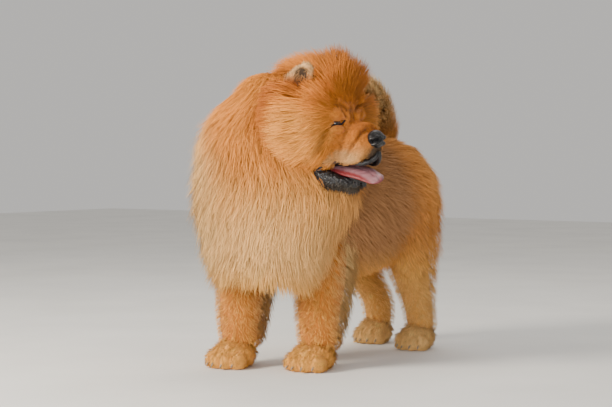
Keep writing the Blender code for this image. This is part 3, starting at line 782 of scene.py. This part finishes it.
def pawMesh(kind, side):
    x, y = pawSpots[kind][side]
    wide = pawWidths[kind]
    long = pawStretch * wide
    balls = [((x, y - 0.1 * long, 0.026), (0.47 * wide, 0.46 * long, 0.034))]
    for out, ahead in toes:
        balls.append(((x + out * wide, y - ahead * long, 0.017), (0.165 * wide, 0.21 * long, 0.022)))
    obj = meshOf("paw", balls=balls, place=Matrix.Translation(bodyShift), blend=(0.0022, 3))
    spots = vertsOf(obj)
    spots[:, 2] = np.maximum(spots[:, 2], 0.0008)
    moveTo(obj, spots)
    paintMesh(obj.data, coatTintAndShade(spots, kind))
    return obj


# Skin: one object for all the flesh

def bodyMesh():
    forms = (torsoForm, rumpForm, maneForm, tailForm, headForm, *legForms.values())
    obj = meshOf("body", [(form, 30, 48, -0.05) for form in forms], blend=(0.0055, 6))
    spots = vertsOf(obj)
    spots[:, 2] = np.maximum(spots[:, 2], 0.004)
    moveTo(obj, spots)
    foremost = ease(-0.02, -0.1, spots[:, 1] - bodyShift.y)
    # Painted shade: the whole skin is darkened a third of the way to umber, for the shade under the coat
    paintMesh(obj.data, shade(coatTintAndShade(spots, "torso"), (foremost, "cinnamon"), (0.35, "umber")))
    return obj


def joinMeshes(name, parts):
    spots, faces, tints, base = [], [], [], 0
    for obj in parts:
        spots.append(vertsOf(obj))
        faces += [tuple(base + v for v in polygon.vertices) for polygon in obj.data.polygons]
        tints.append(pull(obj.data.attributes["tint"].data, "color", 4)[:, :3])
        base += len(spots[-1])
    mesh = bpy.data.meshes.new(name)
    mesh.from_pydata(np.concatenate(spots), [], faces)
    mesh.shade_smooth()
    paintMesh(mesh, np.concatenate(tints))
    for obj in parts:
        bpy.data.objects.remove(obj)
    return show(name, mesh)


body = bodyMesh()
bodyTree = treeOf(body)
face = faceMesh()
jaw = jawMesh()
ears = {side: earMesh(side) for side in words}
paws = {key: pawMesh(*key) for key in legForms}
print("skin shaped:", len(body.data.polygons), "body and", len(face.data.polygons), "face polygons")


# Tufts

patchSize = 0.003  # of a tuft's place in the unwrap


def weave(name, lines, width, outward, patch, tint, draw, soft=0.8, thick=0.55):
    # lines are the tufts' middle lines, root first; each gets rings of three and a tip. The more
    # soft, the more a tuft is shaded as the coat's own surface.
    count, knots = lines.shape[:2]
    rings = knots - 1
    run = unit(np.gradient(lines, axis=1))
    side = unit(np.cross(run, outward[:, None, :]))
    out = np.cross(side, run)
    t = np.linspace(0, 1, knots)
    taper = ((0.55 + 1.1 * t) * (1 - t) ** 0.55)[:rings]
    half = (width[:, None] * taper[None, :])[:, :, None] * 0.5
    spine = lines[:, :rings]
    left, right = side[:, :rings] * half, out[:, :rings] * half * thick
    rim = np.stack([spine + left, spine + right, spine - left], axis=2)
    verts = np.concatenate([rim.reshape(count, rings * 3, 3), lines[:, -1:]], axis=1)
    faces = [(0, 1, 2)]
    for low in range(0, 3 * (rings - 1), 3):
        for j in range(3):
            n = (j + 1) % 3
            faces += [(low + j, low + 3 + n, low + n), (low + j, low + 3 + j, low + 3 + n)]
    last = 3 * (rings - 1)
    faces += [(last + j, last + 3, last + (j + 1) % 3) for j in range(3)]
    size = rings * 3 + 1
    index = (np.array(faces)[None] + (np.arange(count) * size)[:, None, None]).reshape(-1)
    mesh = bpy.data.meshes.new(name)
    mesh.vertices.add(count * size)
    mesh.vertices.foreach_set("co", verts.reshape(-1).astype(np.float32))
    mesh.loops.add(len(index))
    mesh.loops.foreach_set("vertex_index", index.astype(np.int32))
    mesh.polygons.add(len(index) // 3)
    mesh.polygons.foreach_set("loop_start", np.arange(0, len(index), 3, dtype=np.int32))
    mesh.update(calc_edges=True)
    mesh.shade_smooth()
    over, aside = out[:, :rings], 0.87 * side[:, :rings]
    facing = np.repeat(outward[:, None, :] * soft, size, axis=1)
    ring = np.stack([aside - 0.5 * over, over, -aside - 0.5 * over], axis=2)
    facing[:, :-1] += ring.reshape(count, -1, 3)
    facing[:, -1] += 0.5 * out[:, -1]
    mesh.normals_split_custom_set_from_vertices(unit(facing).reshape(-1, 3).astype(np.float32))
    along = np.append(np.repeat(t[:rings], 3), 1.0)
    across = np.append(np.tile([-1.0, 0.0, 1.0], rings), 0.0)
    spread = np.stack([0.5 + 0.5 * across, along], axis=1) * patchSize
    uv = (patch[:, None, :] * 0.99 + patchSize + spread[None]).reshape(-1, 2)[index]
    mesh.uv_layers.new(name="OFBake").data.foreach_set("uv", uv.astype(np.float32).ravel())
    tone = np.repeat(draw.random(count), size)
    paintMesh(mesh, np.repeat(tint, size, axis=0), along=np.tile(along, count), tone=tone,
              across=np.tile(across, count))
    mesh.materials.append(finishes["fur"])
    obj = show(name, mesh)
    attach(obj, "root")
    print(name, count, "tufts,", len(index) // 3, "triangles")
    return obj


def buried(spots, by):
    # True where a point lies deeper than that inside the body's skin
    found = np.zeros(len(spots), bool)
    for k, spot in enumerate(spots):
        near, normal, _, _ = bodyTree.find_nearest(Vector(spot))
        found[k] = near is not None and (Vector(spot) - near).dot(normal) < -by
    return found


def gatherTips(lines, groups, amount, draw):
    # Tufts lean to the nearest of some leading tufts, so that the coat parts into locks
    count = len(lines)
    leaders = draw.choice(count, max(1, count // groups), replace=False)
    tree = KDTree(len(leaders))
    for k, leader in enumerate(leaders):
        tree.insert(lines[leader, 1], k)
    tree.balance()
    own = np.array([leaders[tree.find(spot)[1]] for spot in lines[:, 1]])
    t = np.linspace(0, 1, lines.shape[1])[None, :, None] ** 1.4
    pulled = amount * draw.uniform(0.5, 1.3, count)[:, None, None]
    return lines + (lines[own] - lines) * t * np.clip(pulled, 0, 0.95), own


# How far a tuft can stand out of the solids' box: 3% of a side and 6 mm, and never below the floor
cadLow, cadHigh = (np.array(tuple(corner)) for corner in cadBox)
beyond = 0.03 * (cadHigh - cadLow) + 0.006
room = np.array([(*(cadLow - beyond)[:2], 0.001), cadHigh + beyond])

# Seen from beside the face, by level and height: lines that stay clear of tufts, and a crease along which
# the tufts get painted shade; its depth is how dark
earView = {"path": [(-0.058, 0.05), (-0.024, 0.098)], "room": 0.02, "near": 0.045, "far": 0.4}
mouthView = {"path": [(0.012, -0.132), (0.04, -0.135), (0.12, -0.125)], "room": 0.026,
             "near": 0.02, "far": 0.2}
cheekView = {"path": [(0.016, -0.033), (0.0045, -0.06), (-0.01, -0.085), (-0.024, -0.103)],
             "width": 0.005, "depth": 0.75, "near": 0.05}
crown = {"at": (0.05, 0.045, 0.115), "radii": (0.085, 0.1, 0.07), "lift": (0.014, 0.012, 0.02)}
earGap = {"turn": radians(43), "wide": radians(10), "from": 1.3}  # where no head tuft grows before an ear

# A plan gives how many tufts grow between two places along the form, and which way; how far they
# lie over, as a share of the coat's depth; and how they hang, stray and gather
usual = {"way": 1, "lie": 1.3, "swing": 0.0, "fall": 0.0, "gather": 0.22, "groups": 14, "stray": 0.09,
         "loose": 0.11, "cull": 0.012, "proud": 0.0, "hang": 0.0, "drop": 0.0, "soft": 0.8}
coats = {
    "mane": {"tufts": 40000, "span": (-0.45, 6.8), "way": -1, "lie": 1.15, "width": 0.003, "fall": 0.012,
             "groups": 9, "hang": 1.5, "drop": 0.95, "loose": 0.13},
    "torso": {"tufts": 25000, "span": (0.3, 5.85), "lie": 1.4, "width": 0.003, "swing": 0.22,
              "fall": 0.006, "groups": 9},
    "rump": {"tufts": 11500, "span": (-0.7, 3.6), "way": -1, "width": 0.003, "fall": 0.008},
    "tail": {"tufts": 9500, "soft": 0.3, "span": (-0.3, 4.9), "lie": 1.4, "width": 0.0028, "stray": 0.16,
             "swing": 0.2},
    "head": {"tufts": 30000, "span": (-0.6, 4.75), "way": -1, "lie": 1.0, "width": 0.0023, "swing": 0.1,
             "gather": 0.13, "cull": 0.02, "stray": 0.07, "loose": 0.08},
    "fore": {"tufts": 5600, "span": (-0.4, 3.7), "width": 0.0027, "proud": 0.007, "soft": 0.35,
             "stray": 0.07, "loose": 0.13},
    "hind": {"tufts": 4800, "span": (-0.4, 4.7), "width": 0.0027, "proud": 0.006, "soft": 0.3, "stray": 0.07,
             "loose": 0.13},
}


def rootsOn(form, plan, region, draw):
    # Random places on the form, thicker where the coat is short, and none deep inside the skin
    tries = 5 * plan["tufts"]
    s = draw.uniform(*plan["span"], tries)
    turn = draw.uniform(-pi, pi, tries)
    step = 0.03
    across = form.points(s, turn + step, 0.6) - form.points(s, turn - step, 0.6)
    onward = (form.points(s + step, turn, 0.6) - form.points(s - step, turn, 0.6)) / (2 * step)
    area = np.linalg.norm(np.cross(across, onward), axis=1)
    roots = form.points(s, turn, 0.0)
    outward = form.points(s, turn, 1.0) - roots
    deep = np.linalg.norm(outward, axis=1)
    chance = area * (1 + 0.9 * np.clip(0.02 / deep, 0, 2.5))
    if region == "head":
        angle = np.abs((turn + pi) % (2 * pi) - pi)
        chance[(np.abs(angle - earGap["turn"]) < earGap["wide"]) & (s > earGap["from"])] = 0
    pick = draw.choice(tries, plan["tufts"], replace=False, p=chance / chance.sum())
    pick = pick[~buried(roots[pick], plan["cull"])]
    pace = np.linalg.norm(onward, axis=1)
    return [a[pick] for a in (s, turn, deep, roots, unit(outward), pace)]


def formTufts(form, plan, region, seed):
    draw = np.random.default_rng(seed)
    s, turn, deep, roots, outward, pace = rootsOn(form, plan, region, draw)
    count = len(s)
    reach = plan["lie"] * deep * draw.uniform(0.8, 1.2, count)
    slide = plan["way"] * reach / np.maximum(pace, 0.02)
    swing = plan["swing"] * np.sin(turn) + draw.normal(0, plan["stray"], count)
    full = draw.uniform(0.66, 1.02, count)
    wisp = draw.random(count) < 0.07
    full[wisp] *= 1.12
    t = np.linspace(0, 1, 3)[None, :]
    rise = -0.1 + (full[:, None] + 0.1) * (1 - (1 - t) ** 1.6)
    road = np.clip(s[:, None] + slide[:, None] * t ** 1.15, -0.97, form.last + 0.97)
    lines = form.points(road, turn[:, None] + swing[:, None] * t, rise)
    lines[:, :, 2] -= plan["fall"] * t ** 2
    if plan["hang"]:
        surface = form.points(s, turn, full)
        skirt = roots[:, None] + (surface - roots)[:, None] * (1 - (1 - t[:, :, None]) ** 1.6)
        skirt[:, :, 2] -= reach[:, None] * plan["drop"] * t ** 1.1
        lines += (skirt - lines) * ease(plan["hang"], 0.0, s)[:, None, None]
    lines += outward[:, None, :] * (plan["proud"] * t[:, :, None])
    lines, own = gatherTips(lines, plan["groups"], plan["gather"], draw)
    wobble = np.clip(draw.normal(0, 1, (count, 1, 3)), -1.6, 1.6) * (deep * plan["loose"])[:, None, None]
    lines = np.clip(lines + wobble * t[:, :, None] ** 1.5, room[0], room[1])
    width = plan["width"] * np.clip(deep / 0.045, 0.5, 1.1) * draw.uniform(0.7, 1.3, count)
    width[wisp] *= 0.6
    if region == "head":
        # A fuller crown over the far brow
        fuller = oval(toHead(lines[:, -1]), crown["at"], crown["radii"])
        lines += fuller[:, None, None] * t[:, :, None] * np.array(crown["lift"])
    crease = np.zeros(count)
    if region in ("head", "mane"):
        clear = clearViews(lines)
        lines, width, outward, roots, s, turn, own = (
            a[clear] for a in (lines, width, outward, roots, s, turn, own))
        crease = cheekCreaseShade(lines[:, 1])
    low, high = plan["span"]
    patch = np.column_stack([(s - low) / (high - low), (turn + pi) / (2 * pi)])
    # Painted shade: umber along the cheek crease
    tint = shade(coatTintAndShade(roots, region), (crease, "umber"))
    tint *= (1 + 0.07 * draw.normal(0, 1, count)[own])[:, None]
    return lines, width, outward, patch, np.clip(tint, 0.001, 1)


def flatView(spots):
    # How far along, how high and how near a spot is, seen from beside the face
    x, y, z = toHead(spots).T
    return np.column_stack([0.82 * x - 0.57 * np.abs(y), z]), 0.57 * x + 0.82 * np.abs(y)


def cheekCreaseShade(spots):
    # Painted shade: how dark the tufts are made along the cheek crease, seen from beside the face
    flat, near = flatView(spots)
    gap, share = pathDistance(flat, cheekView["path"])
    dark = cheekView["depth"] * np.exp(-(gap / cheekView["width"]) ** 2) * (1 - 0.6 * share)
    return dark * (near > cheekView["near"])


def clearViews(lines):
    # False for a tuft that would hang before an ear or over the mouth, seen from beside the face
    clear = np.ones(len(lines), bool)
    for knot in (1, 2):
        flat, near = flatView(lines[:, knot])
        for view in (earView, mouthView):
            gap, _ = pathDistance(flat, view["path"])
            clear &= ~((gap < view["room"]) & (near > view["near"]) & (near < view["far"]))
    return clear


def layCoat(name, form, region, seed, parts=1):
    plan = {**usual, **coats[region]}
    tufts = formTufts(form, plan, region, seed)
    order = np.argsort(tufts[3][:, 1], kind="stable")  # by the turn round the form
    for number, chosen in enumerate(np.array_split(order, parts)):
        label = name if parts == 1 else name + "_" + str(number + 1)
        draw = np.random.default_rng(seed + 1000 + number)
        weave(label, *(a[chosen] for a in tufts), draw, plan["soft"])


layCoat("mane_coat", maneForm, "mane", 101, 3)
layCoat("torso_coat", torsoForm, "torso", 102, 2)
layCoat("rump_coat", rumpForm, "rump", 103)
layCoat("tail_coat", tailForm, "tail", 104)
layCoat("head_coat", headForm, "head", 105, 2)
for (kind, side), form in legForms.items():
    layCoat(kind + "leg_coat_" + words[side], form, kind, 110 + side + 5 * (kind == "hind"))
print("coat laid")


# Short tufts on a mesh: face, ears, jaw, paws and lip

def meshRoots(obj, count, chance, draw):
    obj.data.calc_loop_triangles()
    corners = pull(obj.data.loop_triangles, "vertices", 3, np.int32)
    spots, normals = vertsOf(obj), normalsOf(obj)
    first, second, third = (spots[corners[:, k]] for k in range(3))
    weight = np.linalg.norm(np.cross(second - first, third - first), axis=1)
    weight *= chance(spots[corners].mean(axis=1))
    pick = draw.choice(len(corners), count, p=weight / weight.sum())
    share = draw.dirichlet((1, 1, 1), count)[:, :, None]
    return (spots[corners[pick]] * share).sum(axis=1), unit((normals[corners[pick]] * share).sum(axis=1))


def shortTufts(name, obj, plan, region, seed):
    draw = np.random.default_rng(seed)
    root, normal = meshRoots(obj, plan["tufts"], plan["chance"], draw)
    flow = plan["flow"](root)
    flow = unit(flow - normal * (flow * normal).sum(axis=1, keepdims=True))
    flow += draw.normal(0, plan["stray"], flow.shape)
    long = plan["length"](root) * draw.uniform(0.7, 1.2, len(root))
    t = np.linspace(0, 1, 3)[None, :, None]
    lean = flow[:, None, :] * t ** 1.2 + normal[:, None, :] * (plan["lift"] * (1 - (1 - t) ** 1.8))
    lines = root[:, None, :] - normal[:, None, :] * 0.0012 + lean * long[:, None, None]
    lines, own = gatherTips(lines, 10, 0.35, draw)
    lines[:, :, 2] = np.maximum(lines[:, :, 2], 0.001)
    width = plan["width"] * np.clip(long / 0.012, 0.6, 1.5) * draw.uniform(0.7, 1.3, len(root))
    tint = plan["tint"](root) if "tint" in plan else coatTintAndShade(root, region)
    tint *= (1 + 0.08 * draw.normal(0, 1, len(root))[own])[:, None]
    weave(name, lines, width, normal, plan["unwrap"](root), np.clip(tint, 0.001, 1), draw)


def headUnwrap(spots):
    # Round the muzzle's own axis, and back from the nose
    head = toHead(spots)
    turn = np.arctan2(head[:, 1], head[:, 2] + 0.04)
    return np.column_stack([(turn + pi) / (2 * pi), np.clip((head[:, 0] + 0.08) / 0.25, 0, 1)])


def faceChance(spots):
    # None in the mouth, under the nose, before the ears or in the slit of the eyes
    head = toHead(spots)
    mouth = (np.abs(head[:, 1]) < 0.03) & (head[:, 2] < -0.098)
    nose = ovalGap(head, (0.15, 0, -0.052), (0.017, 0.0235, 0.019)) < 1.0
    flat, near = flatView(spots)
    gap, _ = pathDistance(flat, earView["path"])
    covered = mouth | nose | (slitGap(head) <= 0.0034)
    covered |= (gap < earView["room"]) & (near > earView["near"])
    shown = ease(0.0, 0.045, head[:, 0]) * ~covered
    return shown * (1 - 0.85 * creaseMask(head)) * (1 + 1.2 * ease(0.08, 0.12, head[:, 0]))


def faceFlow(spots):
    # Back from the nose, up over the brow and down the cheeks
    return (toHead(spots) - (0.165, 0, -0.05)) * (0.8, 1.4, 1.0) @ headTurn


def faceLength(spots):
    head = toHead(spots)
    long = 0.0075 + 0.016 * ease(0.085, 0.02, head[:, 0]) + 0.01 * ease(0.01, 0.04, head[:, 2])
    return long * (0.35 + 0.65 * ease(0.003, 0.02, slitGap(head))) * (1 - 0.4 * creaseMask(head))


facePlan = {"tufts": 15500, "chance": faceChance, "flow": faceFlow, "length": faceLength, "width": 0.0017,
            "unwrap": headUnwrap, "stray": 0.18, "lift": 0.55}
jawPlan = {
    "tufts": 2600, "width": 0.0017, "unwrap": headUnwrap, "stray": 0.3, "lift": 0.5,
    "chance": lambda spots: ease(-0.142, -0.15, toHead(spots)[:, 2]),
    "flow": lambda spots: (toHead(spots) * (0.2, 1.0, 0) + (-0.06, 0, -0.04)) @ headTurn,
    "length": lambda spots: 0.01 + 0.01 * ease(0.08, 0.02, toHead(spots)[:, 0]),
}


def earPlan(side):
    def cup(spots):
        return oval(toHead(spots), (0.008, side * 0.083, 0.078), (0.013, 0.018, 0.024))

    return {
        "tufts": 2400, "width": 0.0014, "unwrap": headUnwrap, "lift": 0.45, "stray": 0.35,
        "chance": lambda spots: 1 - 0.93 * cup(spots),
        "flow": lambda spots: np.tile((0.25, side * 0.1, 1.0) @ headTurn, (len(spots), 1)),
        "length": lambda spots: 0.011 - 0.004 * ease(0.07, 0.1, toHead(spots)[:, 2]),
        "tint": lambda spots: shade(coatTintAndShade(spots, "ear"),
                                    (0.7 * ease(0.06, 0.095, toHead(spots)[:, 2]), "cream")),
    }


def pawPlan(kind, side):
    x, y = Vector(pawSpots[kind][side]) + bodyShift.xy
    return {
        "tufts": 2300, "width": 0.0017, "lift": 0.4, "stray": 0.18,
        "chance": lambda spots: ease(0.002, 0.006, spots[:, 2]),
        "flow": lambda spots: (spots - (x, 0, 0)) * (0.3, 0, 0) - (0, 0.05, 0.035),
        "length": lambda spots: 0.011 + 0.008 * ease(0.02, 0.05, spots[:, 2]),
        "unwrap": lambda spots: np.column_stack([
            (np.arctan2(spots[:, 0] - x, spots[:, 1] - y) + pi) / (2 * pi),
            np.clip(spots[:, 2] / 0.07, 0, 1)]),
    }


shortTufts("face_coat", face, facePlan, "face", 120)
shortTufts("jaw_coat", jaw, jawPlan, "jaw", 121)
for side, word in words.items():
    shortTufts("ear_coat_" + word, ears[side], earPlan(side), "ear", 130 + side)
for (kind, side), paw in paws.items():
    seed = 140 + side + 5 * (kind == "hind")
    shortTufts(kind + "paw_coat_" + words[side], paw, pawPlan(kind, side), kind, seed)
print("short fur laid")


# Pieces of their own

def finishPiece(obj, finish, *nodes):
    obj.data.shade_smooth()
    obj.data.materials.clear()
    obj.data.materials.append(finishes[finish])
    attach(obj, "root")
    if nodes:
        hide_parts(*nodes)


skin = joinMeshes("skin", [body, face, jaw, *ears.values(), *paws.values()])
finishPiece(skin, "skin", "head", "neck", "torso", "tail", "lower_jaw", "ear_left", "ear_right",
            *(kind + part + side for kind in ("fore", "hind") for part in ("leg_", "paw_")
              for side in ("left", "right")))

nose = {
    "balls": [((0.146, 0, -0.054), (0.017, 0.0245, 0.0205)),
              ((0.149, 0.0115, -0.055), (0.0145, 0.0125, 0.015))],
    "nostril": [(0.165, 0.009, -0.054), (0.159, 0.0175, -0.0565), (0.151, 0.023, -0.061)],
    "nostril depth": 0.0095, "nostril width": 0.0038, "rim": 0.0016,
    "groove": [(0.166, 0, -0.046), (0.166, 0, -0.066), (0.156, 0, -0.074)],
    "groove depth": 0.0022, "groove width": 0.0015,
}


def makeNose():
    obj = meshOf("nose_leather", balls=bothSides(nose["balls"]), blend=(0.0009, 3))
    spots = vertsOf(obj)
    head = toHead(spots)
    gap, _ = pathDistance(head, nose["groove"])
    moved = nose["groove depth"] * np.exp(-(gap / nose["groove width"]) ** 2)
    for side in words:
        gap, _ = pathDistance(head, flip(nose["nostril"], side))
        moved += nose["nostril depth"] * np.exp(-(gap / nose["nostril width"]) ** 2)
        moved -= nose["rim"] * np.exp(-((gap - 0.0072) / 0.0026) ** 2)
    moveTo(obj, spots - normalsOf(obj) * moved[:, None])
    finishPiece(obj, "nose", "nose")


tongue = {
    "rows": [(0.02, -0.006, -0.119, 0.023, 0.009, 0.007), (0.07, -0.006, -0.121, 0.028, 0.01, 0.008),
             (0.115, -0.006, -0.128, 0.029, 0.009, 0.007), (0.146, -0.006, -0.139, 0.025, 0.007, 0.006)],
    "middle": -0.006, "groove": 0.0022, "ripple": 0.0006, "slope": 0.34,
}


def makeTongue():
    obj = meshOf("tongue_flesh", [(plainForm(tongue["rows"], (0.01, 0.02)), 40, 48, 1.0, 10)])
    spots, normals = vertsOf(obj), normalsOf(obj)
    head = toHead(spots)
    aside = head[:, 1] - tongue["middle"]
    upper = np.clip(normals[:, 2], 0, 1)
    groove = tongue["groove"] * np.exp(-(aside / 0.0022) ** 2)
    ripple = tongue["ripple"] * np.sin(head[:, 0] * 420 + 3 * np.sin(head[:, 1] * 160))
    spots -= normals * ((groove + ripple) * upper)[:, None]
    # Its right side lies lower, over the lip
    spots[:, 2] += tongue["slope"] * aside * ease(0.03, 0.09, head[:, 0])
    moveTo(obj, spots)
    edge = (ease(0.019, 0.026, np.abs(aside)) + ease(0.1, -0.35, normals[:, 2])
            + ease(0.156, 0.166, head[:, 0]) * 0.8)
    mark(obj.data, "edge", np.clip(edge, 0, 1))
    finishPiece(obj, "tongue", "tongue")


def makeEye(side, word):
    centre, = flip([eye["centre"]], side)
    obj = meshOf("eyeball_" + word, balls=[(centre, (eye["radius"],) * 3, (0, 0, 0), 48)])
    look, = flip([eye["look"]], side)
    away = unit(toHead(vertsOf(obj)) - centre)
    mark(obj.data, "ring", np.arccos(np.clip(away @ unit(np.array(look)), -1, 1)))
    finishPiece(obj, "eye", "eye_" + word)


def makeLids():
    # Two dark rims along each slit, the upper one fuller
    slit = folds["eye slit"]["path"][::6]
    rims = []
    for side in words:
        for shift, radius in ((0.0011, 0.002), (-0.0012, 0.0017)):
            path = [(x - 0.0012, side * y, z + shift * sin(pi * (k + 0.4) / len(slit)))
                    for k, (x, y, z) in enumerate(slit)]
            rims.append(tube(path, (0.0016, *(radius for _ in slit[2:]), 0.0009)))
    finishPiece(meshOf("eyelids", rims), "lip")


lips = {
    "upper": [(0.03, 0.047, -0.117), (0.042, 0.045, -0.106), (0.068, 0.036, -0.104), (0.1, 0.03, -0.106),
              (0.128, 0.024, -0.107), (0.148, 0.01, -0.097), (0.154, 0.003, -0.084)],
    "upper radii": (0.011, 0.009, 0.004, 0.0038, 0.0062, 0.0054, 0.0044),
    "lower": [(0.028, 0.046, -0.112), (0.03, 0.046, -0.131), (0.05, 0.043, -0.141), (0.078, 0.035, -0.147),
              (0.102, 0.013, -0.151)],
    "lower radii": (0.011, 0.017, 0.0185, 0.0135, 0.0085),
    "roof": [(0.0, 0, -0.105, 0.034, 0.02, 0.024), (0.06, 0, -0.104, 0.032, 0.014, 0.01),
             (0.12, 0, -0.102, 0.024, 0.01, 0.006)],
    "floor": [(0.01, 0, -0.124, 0.036, 0.008, 0.01), (0.06, 0, -0.13, 0.031, 0.007, 0.01),
              (0.104, 0, -0.14, 0.024, 0.005, 0.008)],
    "bosses": 9, "boss": (0.0055, 0.005, 0.0048), "lumps": 0.0014,
}


def makeLips():
    forms = [tube(flip(lips[row], side), lips[row + " radii"])
             for side in words for row in ("upper", "lower")]
    forms += [(plainForm(lips["roof"], (0.01, 0.012)), 20, 32, 1.0),
              (plainForm(lips["floor"], (0.01, 0.014)), 20, 32, 1.0)]
    bosses = []
    for k in range(lips["bosses"]):
        # Wet folds and small bosses along the lower lip
        share = (k + 0.5) / lips["bosses"]
        x, y, z = (np.interp(share * 4, range(5), column) for column in np.array(lips["lower"]).T)
        lift = 0.006 * (1 if k % 2 else -0.6)
        bosses.append(((x, y + 0.012 * (1 - share), z + lift), lips["boss"], (0, 0, 0), 12))
    obj = meshOf("lips", forms, bothSides(bosses), blend=(0.0016, 3))
    spots = vertsOf(obj)
    x, y, z = toHead(spots).T
    lumps = np.sin(520 * x + 2 * np.sin(310 * z)) * np.sin(600 * z + 1.5 * np.sin(240 * x + 90 * y))
    lumps *= ease(-0.112, -0.124, z) * lips["lumps"]
    moveTo(obj, spots + normalsOf(obj) * lumps[:, None])
    finishPiece(obj, "lip")
    return obj


def makeClaws():
    claws = []
    for kind, side in legForms:
        x, y = pawSpots[kind][side]
        wide = pawWidths[kind]
        for out, ahead in toes:
            spot, tip = x + out * wide, y - (ahead + 0.21) * pawStretch * wide
            path = [(spot, tip + 0.011, 0.0145), (spot, tip + 0.001, 0.0125), (spot, tip - 0.006, 0.006)]
            claws.append(tube(path, (0.0034, 0.0029, 0.001), Matrix.Translation(bodyShift)))
    finishPiece(meshOf("claws", claws), "claw")


makeNose()
makeTongue()
for side, word in words.items():
    makeEye(side, word)
makeLids()
lipFlesh = makeLips()
makeClaws()
lipHair = {
    "tufts": 800, "width": 0.0012, "unwrap": headUnwrap, "stray": 0.35, "lift": 0.35,
    "chance": lambda spots: ease(-0.138, -0.156, toHead(spots)[:, 2]) * (np.abs(toHead(spots)[:, 1]) > 0.02),
    "flow": lambda spots: (toHead(spots) * (0.1, 0.5, 0) + (-0.03, 0, -0.06)) @ headTurn,
    "length": lambda spots: np.full(len(spots), 0.011),
    "tint": lambda spots: (0.06 + 0.55 * np.sin(4000 * spots[:, :1]) ** 2) * palette["ash"],
}
shortTufts("lip_hair", lipFlesh, lipHair, "jaw", 122)
print("face, mouth and claws made")


# Floor

bm = bmesh.new()
bmesh.ops.create_grid(bm, x_segments=2, y_segments=2, size=floor["size"] / 2)
ground = show("floor", bpy.data.meshes.new("floor"))
bm.to_mesh(ground.data)
bm.free()
ground.location.z = -0.0005
ground.data.materials.append(finishes["floor"])

print("cad box", [list(corner) for corner in cadBox])
